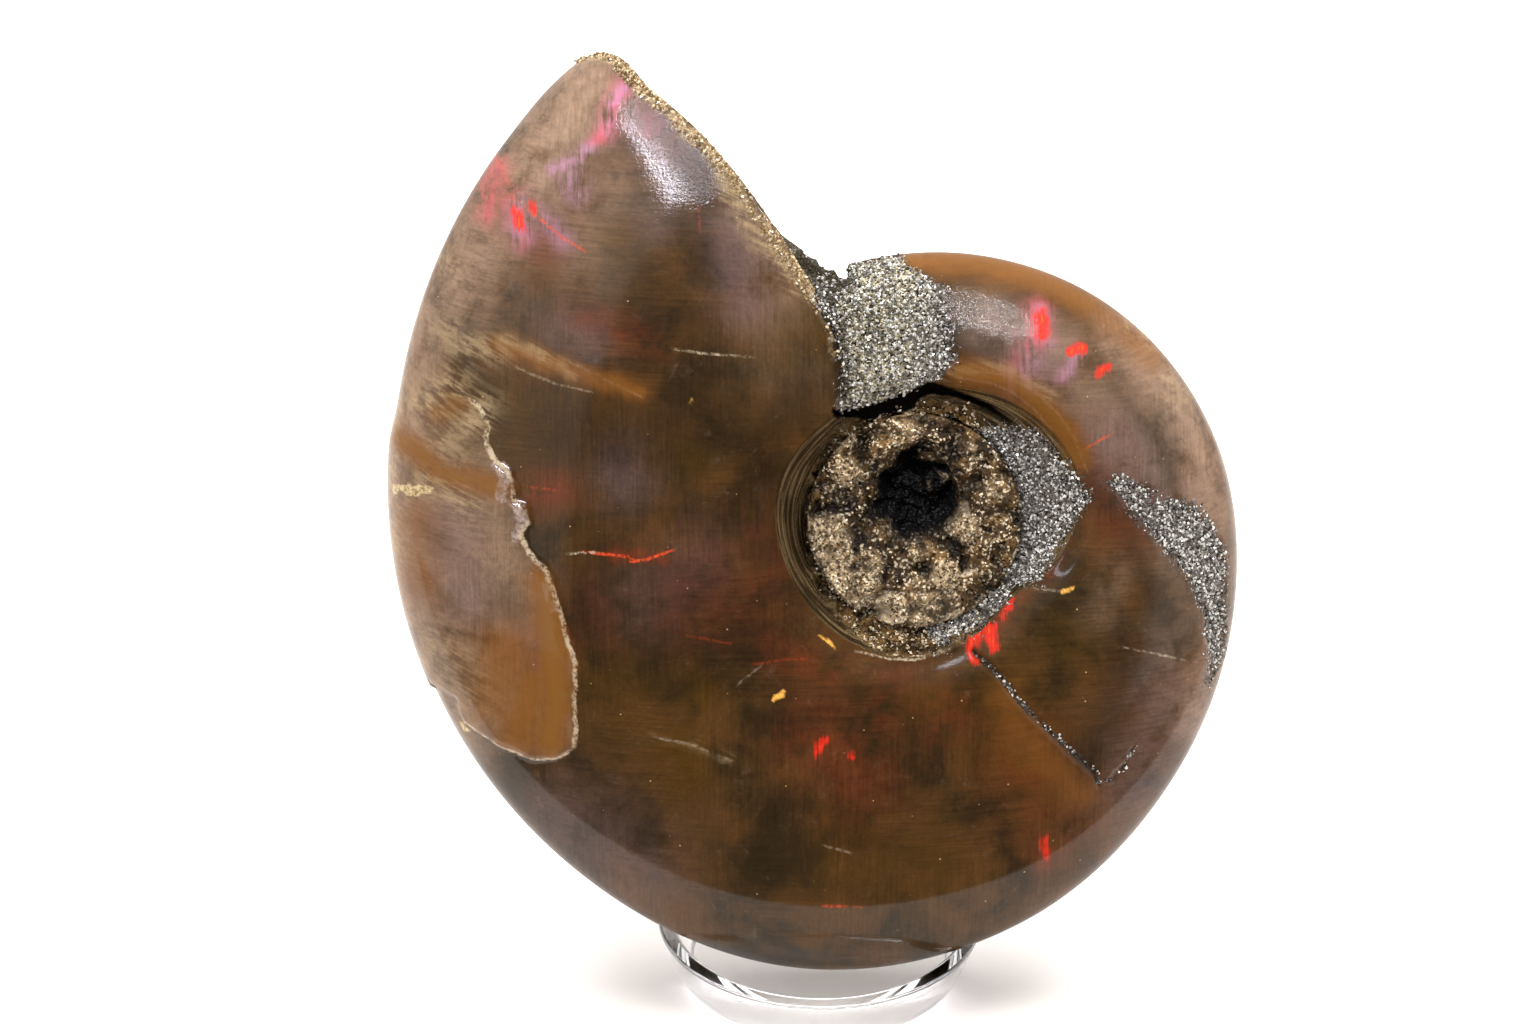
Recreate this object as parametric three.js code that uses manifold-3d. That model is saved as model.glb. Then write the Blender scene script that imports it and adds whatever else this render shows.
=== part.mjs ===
// A polished ammonite fossil that leans back in a clear display ring.
// Millimetres, +Z up, with the middle of the object's footprint at the origin and the surface at Z = 0.
// The fossil is drawn in its own coiling plane first: x to the right, y up, z out of the flank that faces
// the viewer, measured from the centre of the umbilicus. It is then tilted into its place in the ring.
import * as THREE from "three";
import { mergeVertices } from "three/addons/utils/BufferGeometryUtils.js";
import Module from "manifold-3d";

const wasm = await Module();
wasm.setup();

// Driving dimensions of the coil. A turn is the angle grown from the notch beside the aperture, in degrees,
// clockwise past the right side, the bottom and the left side to the lip of the aperture.
const LIP_TURN = 339;
const NOTCH_DIRECTION = 104.6; // anticlockwise from the right
const VENTER_RADIUS = [
  [0, 31.0], [30, 32.0], [60, 34.1], [90, 36.5], [120, 39.1], [150, 43.6], [180, 50.0],
  [210, 55.6], [240, 58.1], [270, 60.4], [300, 62.5], [325, 65.0], [339, 66.2],
];
const UMBILICUS_RADIUS = [
  [0, 15.6], [30, 16.7], [60, 18.5], [90, 19.4], [120, 16.3], [142, 13.5], [180, 14.5],
  [210, 15.0], [240, 15.2], [270, 15.8], [305, 17.1], [339, 16.7],
];
const LIP_HALF_WIDTH = 16.6;
const WIDTH_TO_VENTER = LIP_HALF_WIDTH / 66.2; // the whorl keeps its proportions as it grows
const NOTCH_STEP = 1.6; // the filled end of the early whorl stands this far above the notch
const NOTCH_TURN = 1.2;
const SECTION_POWER = 2.1; // a little blunter than an ellipse
const SHOULDER_ROUND = 0.12; // share of the half width lost where the flank rolls into the umbilicus

// How far the lip swings clockwise of a straight radius, in degrees against the distance from the centre,
// and how far the line where the aperture meets the early whorl swings the other way.
const LIP_SWING = [[16.7, 0], [19.5, -8.8], [24, -13.2], [30, -11.8], [36, -10.4], [50, -7],
  [58.7, -4], [65.2, -1.8], [66.2, 0]];
const CONTACT_SWING = [[15.6, 18], [19, 11.2], [24, 8], [27, 5.5], [29.8, 1.4]];
const LIP_SWING_REACH = 55; // degrees of turn over which growth lines straighten again
const CONTACT_SWING_REACH = 28;

// The aperture is a broken face filled with rock.
const FACE_HOLLOW = 1.5;
const FACE_ROUGHNESS = 0.45;
const APERTURE_NORMAL = new THREE.Vector3(0.675, 0.738, 0);

// The umbilicus. Its wall goes down to a round basin, which has a deeper hole in it.
const WALL_RINGS = [0.25, 0.62]; // share of the way down the wall
const WALL_CURVE = 1.5;
const RIM_WHORL_ARC = 357; // degrees of the rim that belong to the whorl, the rest being the aperture
const FLOOR_WHORL_ARC = 325;
const BASIN_RADIUS = 12.6;
const BASIN_CENTRE = new THREE.Vector2(-0.4, 0.6);
const BASIN_RINGS = [1, 0.72, 0.47, 0.35]; // share of the basin's radius, from the foot of the wall inwards
const HOLE_SHARE = 0.4; // rings within this share are down in the hole
const HOLE_CENTRE = new THREE.Vector2(0.0, 3.6);
const FRONT_FLOOR = 4.6; // distances from the coiling plane
const FRONT_HOLE_FLOOR = 0.8;
const REAR_FLOOR = 6.2;
const REAR_HOLE_FLOOR = 4.4;
const ROCK_LUMPS = 0.5;

// The crust of crystals that lines the basin of the front umbilicus.
const CRUST_COLUMNS = 32;
const CRUST_GAP = 0.45;
const CRUST_THICKNESS = 2.1;
// Rings of its top and its underside, from its edge inwards: share of the basin's radius, height above the floor.
const CRUST_TOP_RINGS = [[0.93, 0.7], [0.8, 2.1], [0.66, 2.2], [0.51, 2.0], [0.385, 0.2], [0.26, -2.9]];
const CRUST_UNDER_RINGS = [[0.95, 0], [0.72, 0], [0.44, 0], [0.31, -3.8]];
const CRUST_LUMPS = 0.55;
const CRYSTAL_COUNT = 40;
const CRYSTAL_TILT = 0.9; // radians between the most opposite leans
const CRUST_KNOBS = [[-3.1, -8.8, 1.5], [2.5, -5.0, 1.2], [-6.6, -6.2, 1.1], [2.5, 4.6, 1.1]]; // x, y, radius

// Relief of the flank that faces the viewer.
const LAYER_THICKNESS = 0.55; // the outer shell layer that is left along the left side
const MATRIX_DEPTH = 0.45; // where the shell is lost and rock shows
const MATRIX_LUMPS = 0.16;
const GAP_FLOOR = 4.4; // of the dark gap under the rock, from the coiling plane
const LAYER_OUTLINE = [
  [-61.9, 15], [-53.6, 17], [-49.8, 14.2], [-49.2, 10.3], [-46.9, 7.6], [-45.8, 5.1], [-46.3, 3.6],
  [-44.3, 1.1], [-45.4, -0.1], [-42.6, -4.2], [-41.7, -6.6], [-40.2, -11.7], [-39.2, -15], [-39.5, -25],
  [-41.3, -26.6], [-44.7, -26.9], [-48.3, -25.7], [-53, -22.5], [-61.9, -14.9],
];
const MATRIX_BLOCK_OUTLINE = [
  [-11.3, 26.7], [-9.2, 22.7], [-8.6, 15.9], [-8.9, 13.9], [-4.4, 14], [1.8, 17], [4.1, 17.6],
  [4.4, 20.9], [3, 24.5], [2.3, 27.7], [-2.7, 30.6], [-7.8, 36],
];
const MATRIX_BAND_OUTLINE = [
  [20.6, 5.8], [24.9, 5], [29.7, 0.3], [33.7, -2.5], [34.8, -7.8], [35.1, -13.3], [34.3, -16.8],
  [32.7, -12.3], [29.1, -7.1], [24.7, -0.4],
];
const CRACK_OUTLINE = [
  [5.8, -14.1], [7.6, -13.9], [11.2, -18.4], [17.2, -24.7], [22.5, -29.4], [26.5, -25.7], [27, -26.3],
  [22.5, -31.3], [20.9, -29.5], [15.8, -25.1], [9.8, -19],
];
const GAP_OUTLINE = [
  [-10, 13.6], [-6.2, 13.7], [-2.8, 14.9], [1.4, 16.6], [4.6, 15.8], [8.3, 14.1], [11.1, 11.6],
  [8.2, 13.4], [4.6, 14.7], [1.5, 15.2], [-2.7, 13.3], [-6.2, 12.1], [-9.5, 11.9],
];
const RELIEF_FOOT = 1.5; // the other reliefs' prisms start this far in front of the coiling plane

// Pose of the fossil in the ring.
const LEAN_DEG = 20; // backwards from upright
const FOSSIL_PLACE = new THREE.Vector3(11.0, 9.5, 55.2); // centre of the umbilicus, from the ring's centre

// The display ring: a clear conical band with rounded edges.
const RING_TOP_RADIUS = 19.9;
const RING_BASE_RADIUS = 17.4;
const RING_WALL = 2.1;
const RING_HEIGHT = 6.6;
const RING_EDGE = 0.45;
const RING_SEGMENTS = 48;

// How finely the fossil is divided: columns run out from the umbilicus like growth lines, rows run round it.
const WHORL_COLUMNS = 62;
const FACE_COLUMNS = 12;
const FLANK_ROWS = 11;
const COLUMNS = WHORL_COLUMNS + FACE_COLUMNS;
const CRATER_ROWS = WALL_RINGS.length + BASIN_RINGS.length;
const HALF_ROWS = FLANK_ROWS + CRATER_ROWS + 1;

const radians = THREE.MathUtils.degToRad;

// A smooth curve through a short list of [place, value] pairs, flat beyond its ends.
function curve(pairs) {
  const places = pairs.map((pair) => pair[0]);
  const values = pairs.map((pair) => pair[1]);
  const line = new THREE.CubicInterpolant(places, values, 1);
  return (place) => line.evaluate(THREE.MathUtils.clamp(place, places[0], places.at(-1)))[0];
}

const venterRadius = curve(VENTER_RADIUS);
const umbilicusRadius = curve(UMBILICUS_RADIUS);
const lipSwing = curve(LIP_SWING);
const contactSwing = curve(CONTACT_SWING);

// A repeatable random number from 0 to 1 for a pair of whole numbers.
function chance(a, b) {
  const wave = Math.sin(a * 127.1 + b * 311.7) * 43758.5453;
  return wave - Math.floor(wave);
}

// A point of the flank. out runs from 0 at the umbilical rim to 1 at the venter.
function whorlPoint(turn, out) {
  const angle = (Math.PI / 2) * Math.pow(out, 1.4);
  const reach = Math.pow(Math.sin(angle), 2 / SECTION_POWER);
  const height = Math.pow(Math.max(Math.cos(angle), 0), 2 / SECTION_POWER);
  const step = NOTCH_STEP * (1 - THREE.MathUtils.smoothstep(turn, 0, NOTCH_TURN));
  const rim = umbilicusRadius(turn);
  const radius = rim + (venterRadius(turn) - step - rim) * reach;
  const shoulder = 1 - SHOULDER_ROUND * Math.exp(-Math.pow(out / 0.1, 2));
  const lipPull = THREE.MathUtils.smoothstep(turn, LIP_TURN - LIP_SWING_REACH, LIP_TURN);
  const contactPull = 1 - THREE.MathUtils.smoothstep(turn, 0, CONTACT_SWING_REACH);
  const swing = lipPull * lipSwing(radius) + contactPull * contactSwing(radius);
  const direction = radians(NOTCH_DIRECTION - turn + swing);
  const halfWidth = WIDTH_TO_VENTER * venterRadius(turn) * height * shoulder;
  return new THREE.Vector3(radius * Math.cos(direction), radius * Math.sin(direction), halfWidth);
}

// The first two columns hold the step of the notch, and the others follow at even turns.
function columnTurn(column) {
  if (column < 2) return column * NOTCH_TURN;
  return NOTCH_TURN + ((LIP_TURN - NOTCH_TURN) * (column - 1)) / (WHORL_COLUMNS - 2);
}

// A point of the outside. Columns past the whorl cross the aperture face from its lip to the early whorl.
function outsidePoint(column, out) {
  if (column < WHORL_COLUMNS) return whorlPoint(columnTurn(column), out);
  const across = (column - WHORL_COLUMNS + 1) / (FACE_COLUMNS + 1);
  const point = whorlPoint(LIP_TURN, out).lerp(whorlPoint(0, out), across);
  const bowl = Math.pow(Math.sin(Math.PI * across), 0.5) * Math.pow(out, 0.6);
  const rough = (chance(column, Math.round(out * FLANK_ROWS)) - 0.5) * 2 * FACE_ROUGHNESS;
  return point.addScaledVector(APERTURE_NORMAL, (rough - FACE_HOLLOW) * bowl);
}

// A point of the basin in a direction, at a share of its radius. Towards the middle the rings close on the hole.
function basinPoint(direction, share, floor, holeFloor) {
  const towardsHole = THREE.MathUtils.smoothstep(1 - share, 0.15, 0.55);
  const centre = BASIN_CENTRE.clone().lerp(HOLE_CENTRE, towardsHole);
  return new THREE.Vector3(
    share * BASIN_RADIUS * Math.cos(direction) + centre.x,
    share * BASIN_RADIUS * Math.sin(direction) + centre.y,
    share < HOLE_SHARE ? holeFloor : floor,
  );
}

// The direction of a rim point from the centre, eased so that the aperture's columns, which are crowded
// together on the rim, spread out a little on the floor.
function floorDirection(rim) {
  const start = NOTCH_DIRECTION + contactSwing(0);
  const degrees = THREE.MathUtils.radToDeg(Math.atan2(rim.y, rim.x));
  const around = THREE.MathUtils.euclideanModulo(start - degrees + 0.01, 360) - 0.01;
  const spread = around < RIM_WHORL_ARC
    ? around * (FLOOR_WHORL_ARC / RIM_WHORL_ARC)
    : 360 - (360 - around) * ((360 - FLOOR_WHORL_ARC) / (360 - RIM_WHORL_ARC));
  return radians(start - spread);
}

// A point inside the umbilicus. Ring 0 is next to the rim, and past the last ring is the centre.
function craterPoint(column, ring, floor, holeFloor) {
  const rim = outsidePoint(column, 0);
  const direction = floorDirection(rim);
  if (ring >= CRATER_ROWS) return basinPoint(direction, 0, floor, holeFloor);
  const lump = (chance(column, ring + 60) - 0.5) * 2 * ROCK_LUMPS;
  if (ring >= WALL_RINGS.length) {
    const share = BASIN_RINGS[ring - WALL_RINGS.length];
    const point = basinPoint(direction, share, floor, holeFloor);
    point.z += floor === REAR_FLOOR ? lump : 0;
    return point;
  }
  const down = WALL_RINGS[ring];
  const point = rim.clone().lerp(basinPoint(direction, 1, floor, holeFloor), down);
  point.z = floor + (rim.z - floor) * Math.pow(1 - down, WALL_CURVE);
  return point;
}

// A point of the whole closed surface. Row 0 is the centre of the front umbilicus, and the last the rear's.
function surfacePoint(column, row) {
  const front = row <= HALF_ROWS;
  const fromCentre = front ? row : 2 * HALF_ROWS - row;
  const ring = CRATER_ROWS - fromCentre;
  const [floor, holeFloor] = front ? [FRONT_FLOOR, FRONT_HOLE_FLOOR] : [REAR_FLOOR, REAR_HOLE_FLOOR];
  const point = ring >= 0
    ? craterPoint(column, ring, floor, holeFloor)
    : outsidePoint(column, (-ring - 1) / FLANK_ROWS);
  if (!front) point.z *= -1;
  return point;
}

// A sphere whose points are moved by place(column, row), as one closed surface without doubled points.
function mouldSphere(columns, rows, place) {
  const geometry = new THREE.SphereGeometry(1, columns, rows);
  const position = geometry.attributes.position;
  const uv = geometry.attributes.uv;
  for (let i = 0; i < position.count; i++) {
    const row = Math.round((1 - uv.getY(i)) * rows);
    const column = (columns - Math.floor(uv.getX(i) * columns + 0.25)) % columns;
    const point = place(column, row);
    position.setXYZ(i, point.x, point.y, point.z);
  }
  return bare(geometry);
}

// Position and faces alone, with shared points merged.
function bare(geometry) {
  const copy = geometry.clone();
  copy.deleteAttribute("normal");
  copy.deleteAttribute("uv");
  return mergeVertices(copy, 1e-4);
}

function solid(geometry) {
  const mesh = bare(geometry);
  return new wasm.Manifold(new wasm.Mesh({
    numProp: 3,
    vertProperties: new Float32Array(mesh.attributes.position.array),
    triVerts: new Uint32Array(mesh.index.array),
  }));
}

function geometryOf(manifold) {
  const mesh = manifold.getMesh();
  return new THREE.BufferGeometry()
    .setAttribute("position", new THREE.BufferAttribute(new Float32Array(mesh.vertProperties), 3))
    .setIndex(new THREE.BufferAttribute(new Uint32Array(mesh.triVerts), 1));
}

// The surface moved along its normals, outwards for a positive distance, by more or less where lumps are wanted.
function grown(geometry, distance, lumps = 0) {
  const copy = geometry.clone();
  copy.computeVertexNormals();
  const { position, normal } = copy.attributes;
  for (let i = 0; i < position.count; i++) {
    const step = distance + (chance(i, 90) - 0.5) * 2 * lumps;
    position.setXYZ(
      i,
      position.getX(i) + normal.getX(i) * step,
      position.getY(i) + normal.getY(i) * step,
      position.getZ(i) + normal.getZ(i) * step,
    );
  }
  return copy;
}

// The outer skin alone, without pockets left inside where offset surfaces cross.
function outside(manifold) {
  return manifold.decompose().reduce((most, next) => (next.volume() > most.volume() ? next : most));
}

// A prism that stands on an outline in the coiling plane and rises through the front flank.
function prism(outline, foot = RELIEF_FOOT) {
  const shape = new THREE.Shape(outline.map(([x, y]) => new THREE.Vector2(x, y)));
  const geometry = new THREE.ExtrudeGeometry(shape, { depth: 2 * LIP_HALF_WIDTH, bevelEnabled: false });
  return solid(geometry.translate(0, 0, foot));
}

// The fossil in one piece: its shell, the layer left on the left side, and the lower rock where shell is lost.
function makeFossil() {
  const shell = mouldSphere(COLUMNS, 2 * HALF_ROWS, surfacePoint);
  const lost = [MATRIX_BLOCK_OUTLINE, MATRIX_BAND_OUTLINE, CRACK_OUTLINE].map(prism);
  const rock = solid(grown(shell, -MATRIX_DEPTH, MATRIX_LUMPS));
  const layer = solid(grown(shell, LAYER_THICKNESS)).intersect(prism(LAYER_OUTLINE));
  let fossil = solid(shell);
  for (const zone of lost) fossil = fossil.subtract(zone);
  return outside(fossil.add(rock).add(layer).subtract(prism(GAP_OUTLINE, GAP_FLOOR)));
}

// The crust follows the basin a little above it, and lines the hole. Row 0 is the middle of its top.
function crustPoint(column, row) {
  const direction = (2 * Math.PI * -column) / CRUST_COLUMNS;
  const topRows = CRUST_TOP_RINGS.length;
  const onTop = row <= topRows;
  const rings = onTop ? CRUST_TOP_RINGS : CRUST_UNDER_RINGS;
  const ring = onTop ? topRows - row : row - topRows - 1;
  const [share, height] = rings[ring] ?? [0, rings.at(-1)[1]];
  const point = basinPoint(direction, share, FRONT_FLOOR, FRONT_FLOOR);
  const bumpy = onTop && ring > 0 && share > HOLE_SHARE;
  const lump = bumpy ? (chance(column, ring + 40) - 0.5) * 2 * CRUST_LUMPS : 0;
  point.z += CRUST_GAP + height + lump;
  return point;
}

// A six-sided crystal whose tip stands out of the crust.
function crystalAt(index) {
  const direction = 2 * Math.PI * chance(index, 3);
  const share = 0.54 + 0.32 * chance(index, 5);
  const size = 0.6 + 0.6 * chance(index, 7);
  const foot = basinPoint(direction, share, FRONT_FLOOR + CRUST_THICKNESS + 0.3, 0);
  const tilt = [(chance(index, 11) - 0.5) * CRYSTAL_TILT, (chance(index, 13) - 0.5) * CRYSTAL_TILT];
  const cone = new THREE.ConeGeometry(size, 2.2 * size, 6, 1).rotateX(Math.PI / 2);
  return cone.rotateY(tilt[0]).rotateX(tilt[1]).translate(foot.x, foot.y, foot.z);
}

function makeCrust() {
  const rows = CRUST_TOP_RINGS.length + CRUST_UNDER_RINGS.length + 1;
  let crust = solid(mouldSphere(CRUST_COLUMNS, rows, crustPoint));
  for (let i = 0; i < CRYSTAL_COUNT; i++) crust = crust.add(solid(crystalAt(i)));
  for (const [x, y, radius] of CRUST_KNOBS) {
    const inHole = Math.hypot(x - HOLE_CENTRE.x, y - HOLE_CENTRE.y) < HOLE_SHARE * BASIN_RADIUS;
    const height = inHole ? FRONT_HOLE_FLOOR + 1.9 : FRONT_FLOOR + CRUST_THICKNESS + 0.3;
    const knob = new THREE.DodecahedronGeometry(radius).scale(1, 1, 0.8).translate(x, y, height);
    crust = crust.add(solid(knob));
  }
  return crust;
}

function makeRing() {
  const wallTop = RING_TOP_RADIUS - RING_WALL;
  const wallBase = RING_BASE_RADIUS - RING_WALL;
  const profile = [
    [wallBase, RING_EDGE], [wallBase + RING_EDGE, 0], [RING_BASE_RADIUS - RING_EDGE, 0],
    [RING_BASE_RADIUS, RING_EDGE], [RING_TOP_RADIUS, RING_HEIGHT - RING_EDGE],
    [RING_TOP_RADIUS - RING_EDGE, RING_HEIGHT], [wallTop + RING_EDGE, RING_HEIGHT],
    [wallTop, RING_HEIGHT - RING_EDGE], [wallBase, RING_EDGE],
  ].map(([x, y]) => new THREE.Vector2(x, y));
  return new THREE.LatheGeometry(profile, RING_SEGMENTS).rotateX(Math.PI / 2);
}

function piece(name, geometry, colour, roughness) {
  const material = new THREE.MeshStandardMaterial({ color: colour, roughness, metalness: 0 });
  const mesh = new THREE.Mesh(geometry, material);
  mesh.name = name;
  return mesh;
}

const fossilPose = new THREE.Group();
fossilPose.rotation.x = Math.PI / 2 - radians(LEAN_DEG);
fossilPose.position.copy(FOSSIL_PLACE);
fossilPose.add(piece("ammonite", geometryOf(makeFossil()), 0x4b3a2c, 0.2));
fossilPose.add(piece("umbilicus_crystals", geometryOf(makeCrust()), 0x7a6a50, 0.5));

const displayRing = piece("display_ring", makeRing(), 0xf2f5f6, 0.05);
displayRing.material.transparent = true;
displayRing.material.opacity = 0.3;

const object = new THREE.Group();
object.add(fossilPose, displayRing);
object.updateMatrixWorld(true);
const extent = new THREE.Box3().setFromObject(object, true);
object.position.set(-(extent.min.x + extent.max.x) / 2, -(extent.min.y + extent.max.y) / 2, -extent.min.z);

const model = new THREE.Group();
model.add(object);
export default model;
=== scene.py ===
import math

import bmesh
import bpy
import numpy as np
from mathutils import Matrix, Vector, noise


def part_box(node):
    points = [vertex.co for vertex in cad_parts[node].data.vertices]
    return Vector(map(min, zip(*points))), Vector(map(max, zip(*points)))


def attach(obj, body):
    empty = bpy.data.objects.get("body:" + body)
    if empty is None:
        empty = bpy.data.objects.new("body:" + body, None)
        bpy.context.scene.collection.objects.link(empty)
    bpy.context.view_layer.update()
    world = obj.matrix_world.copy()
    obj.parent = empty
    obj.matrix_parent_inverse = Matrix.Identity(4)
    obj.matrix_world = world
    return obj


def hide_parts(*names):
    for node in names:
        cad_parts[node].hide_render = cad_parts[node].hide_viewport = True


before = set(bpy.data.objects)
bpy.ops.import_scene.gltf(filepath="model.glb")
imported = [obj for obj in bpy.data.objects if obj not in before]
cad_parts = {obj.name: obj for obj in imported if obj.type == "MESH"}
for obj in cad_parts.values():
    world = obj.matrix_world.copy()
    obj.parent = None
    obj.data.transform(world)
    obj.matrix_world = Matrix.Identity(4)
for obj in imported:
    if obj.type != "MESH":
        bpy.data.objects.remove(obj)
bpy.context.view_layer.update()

MM = 0.001


# The polished fossil: an ammonite filled with rock, sawn and polished on its flank, one natural piece.
# Its shell is brown with flashes of iridescence, and grey rock shows where the shell is lost. It is laid out
# in its coiling plane (x right, y up, z out of the show side, in mm from the centre of the umbilicus).
LEAN = math.radians(20)
CENTRE_FROM_RING = (11.0, 9.5, 55.2)
LIP_TURN = 339.0
NOTCH_DIRECTION = 104.6
VENTER_RADIUS = [
    (0, 31.0), (30, 32.0), (60, 34.1), (90, 36.5), (120, 39.1), (150, 43.6), (180, 50.0),
    (210, 55.6), (240, 58.1), (270, 60.4), (300, 62.5), (325, 65.0), (339, 66.2),
]
UMBILICUS_RADIUS = [
    (0, 15.6), (30, 16.7), (60, 18.5), (90, 19.4), (120, 16.3), (142, 13.5), (180, 14.5),
    (210, 15.0), (240, 15.2), (270, 15.8), (305, 17.1), (339, 16.7),
]
LIP_SWING = [
    (16.7, 0), (19.5, -8.8), (24, -13.2), (30, -11.8), (36, -10.4), (50, -7), (58.7, -4), (65.2, -1.8),
    (66.2, 0),
]
CONTACT_SWING = [(15.6, 18), (19, 11.2), (24, 8), (27, 5.5), (29.8, 1.4)]
LIP_SWING_REACH = 55.0
CONTACT_SWING_REACH = 28.0
WIDTH_TO_VENTER = 16.6 / 66.2
NOTCH_STEP = 1.6
NOTCH_TURN = 1.2
SECTION_POWER = 2.1
SHOULDER_ROUND = 0.12
SHOULDER_REACH = 0.1
FLANK_SPACING = 1.4
FACE_HOLLOW = 1.5
APERTURE_NORMAL = np.array([0.675, 0.738, 0.0])
WALL_CURVE = 1.5
BASIN_RADIUS = 12.6
BASIN_CENTRE = (-0.4, 0.6)
HOLE_SHARE = 0.4
HOLE_CENTRE = (0.0, 3.6)
FRONT_FLOOR = 4.6
FRONT_HOLE_FLOOR = 0.8
REAR_FLOOR = 6.2
REAR_HOLE_FLOOR = 4.4

RIM_WHORL_ARC = 357.0
FLOOR_WHORL_ARC = 325.0

STEP_COLUMNS = 4
WHORL_COLUMNS = 492
FACE_COLUMNS = 48
COLUMNS = WHORL_COLUMNS + FACE_COLUMNS
FRONT_ROWS = (6, 22, 96)  # over the floor of the umbilicus, up its wall, and out over the flank
REAR_ROWS = (12, 8, 36)

CHIP_SIZE = 1.6
BUMP_SIZE = 0.9
LAYER_THICKNESS = 0.5
ROCK_DEPTH = 0.4
CRACK_HALF_WIDTH = 0.4
CRACK_DEPTH = 0.45
BRANCH_NARROWING = 0.15
GAP_FLOOR = 4.5
EDGE_BUMPS = 0.12
LAYER_END = (8.0, 14.5)  # heights between which the layer's ledge fades out
THIN_LINE_REACH = 1.3
RAGGEDNESS = 0.5
MARK_RAGS = 1.7

# The outlines and marks below were measured as they appear from this point in front of the flank.
SIGHT_POINT = np.array([-17.3, 36.4, 338.1])
LAYER_OUTLINE = [
    (-66, 15.6), (-56.5, 16.3), (-51.2, 13.5), (-50.1, 11.2), (-50.4, 9.4), (-49.2, 6.8), (-48.0, 6.1),
    (-46.9, 3.9), (-47.4, 2.4), (-46.1, 2.0), (-45.3, -0.2), (-46.5, -1.4), (-45.5, -3.8), (-43.5, -5.9),
    (-42.7, -8.2), (-41.5, -11.8), (-41.1, -14.1), (-40.0, -17.1), (-40.2, -21.2), (-40.0, -25.3),
    (-40.2, -27.1), (-42.2, -28.5), (-45.3, -28.5), (-48.8, -27.1), (-51.4, -25.3), (-53.3, -23.8),
    (-54.2, -21.2), (-66, -14),
]
BLOCK_OUTLINE = [
    (-12.0, 25.9), (-9.9, 22.5), (-8.7, 18.2), (-8.8, 12.6), (-2.5, 14.3), (1.8, 16.1), (4.6, 18.6),
    (4.2, 22.5), (3.2, 27.1), (-1.4, 30.2), (-2.0, 34), (-9.5, 34),
]
BAND_OUTLINE = [
    (22.5, 4.2), (24.0, 5.2), (28.0, 3.1), (27.3, 1.6), (30.9, 2.4), (32.8, 1.6), (34.8, -0.4),
    (36.2, -3.2), (36.5, -5.2), (36.7, -12.4), (36.7, -15.9), (34.8, -19.5), (35.1, -17.2), (34.2, -11.2),
    (32.1, -6.4), (30.2, -4.4), (27.3, -1.1), (24.9, 1.9), (23.1, 3.8),
]
CRESCENT_OUTLINE = [
    (6.8, 11.2), (13.6, 10.6), (17.6, 6.6), (20.7, 2.6), (19.0, 0.4), (16.5, -3.4), (14.7, -7.2),
    (11.6, -7.6), (10.8, -9.6), (7.9, -12.6), (5.6, -14.0), (3.0, -15.6), (1.0, -13.0), (4.5, -11.0),
    (9.0, 0),
]
GAP_OUTLINE = [
    (-9.6, 12.7), (-6.0, 13.3), (-2.5, 14.6), (1.8, 16.2), (5.0, 15.2), (8.8, 13.6), (11.6, 11.2),
    (8.6, 12.9), (5.0, 14.3), (1.8, 14.8), (-2.5, 13.0), (-6.0, 12.0), (-9.4, 12.0),
]
DRUSE_OUTLINE = [
    (-12.6, 3.0), (-12.9, -2.0), (-12.2, -6.5), (-9.9, -10.5), (-7.7, -13.4), (-4.0, -16.0), (0, -16.8),
    (4.0, -16.0), (7.0, -13.8), (10.0, -10.0), (12.0, -6.0), (13.0, 0), (12.5, 5.0), (10.0, 10.2),
    (6.0, 13.8), (0, 14.6), (-5.0, 12.9), (-9.0, 10.8), (-11.5, 7.0),
]
CRACK_LINE = [
    (7.0, -15.6), (8.1, -16.7), (10.6, -19.1), (12.4, -21.5), (15.9, -25.1), (18.6, -27.5), (21.3, -29.9),
    (22.1, -31.6),
]
CRACK_BRANCH = [(21.3, -29.9), (23.3, -31.4), (24.8, -29.9), (26.5, -26.4)]


def curve(pairs):
    """A smooth curve through pairs: its slopes are the mean of the neighbouring spans, flat at the ends."""
    x, y = np.array(pairs, float).T
    spans = np.diff(y) / np.diff(x)
    slopes = np.concatenate([[0], (spans[:-1] + spans[1:]) / 2, [0]])

    def at(place):
        place = np.clip(place, x[0], x[-1])
        k = np.clip(np.searchsorted(x, place, "right") - 1, 0, len(x) - 2)
        h = x[k + 1] - x[k]
        p = (place - x[k]) / h
        near = (2 * p**3 - 3 * p**2 + 1) * y[k] + (p**3 - 2 * p**2 + p) * h * slopes[k]
        return near + (3 * p**2 - 2 * p**3) * y[k + 1] + (p**3 - p**2) * h * slopes[k + 1]

    return at


venter_radius = curve(VENTER_RADIUS)
umbilicus_radius = curve(UMBILICUS_RADIUS)
lip_swing = curve(LIP_SWING)
contact_swing = curve(CONTACT_SWING)


def smooth(value, low, high):
    t = np.clip((value - low) / (high - low), 0, 1)
    return t * t * (3 - 2 * t)


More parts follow.
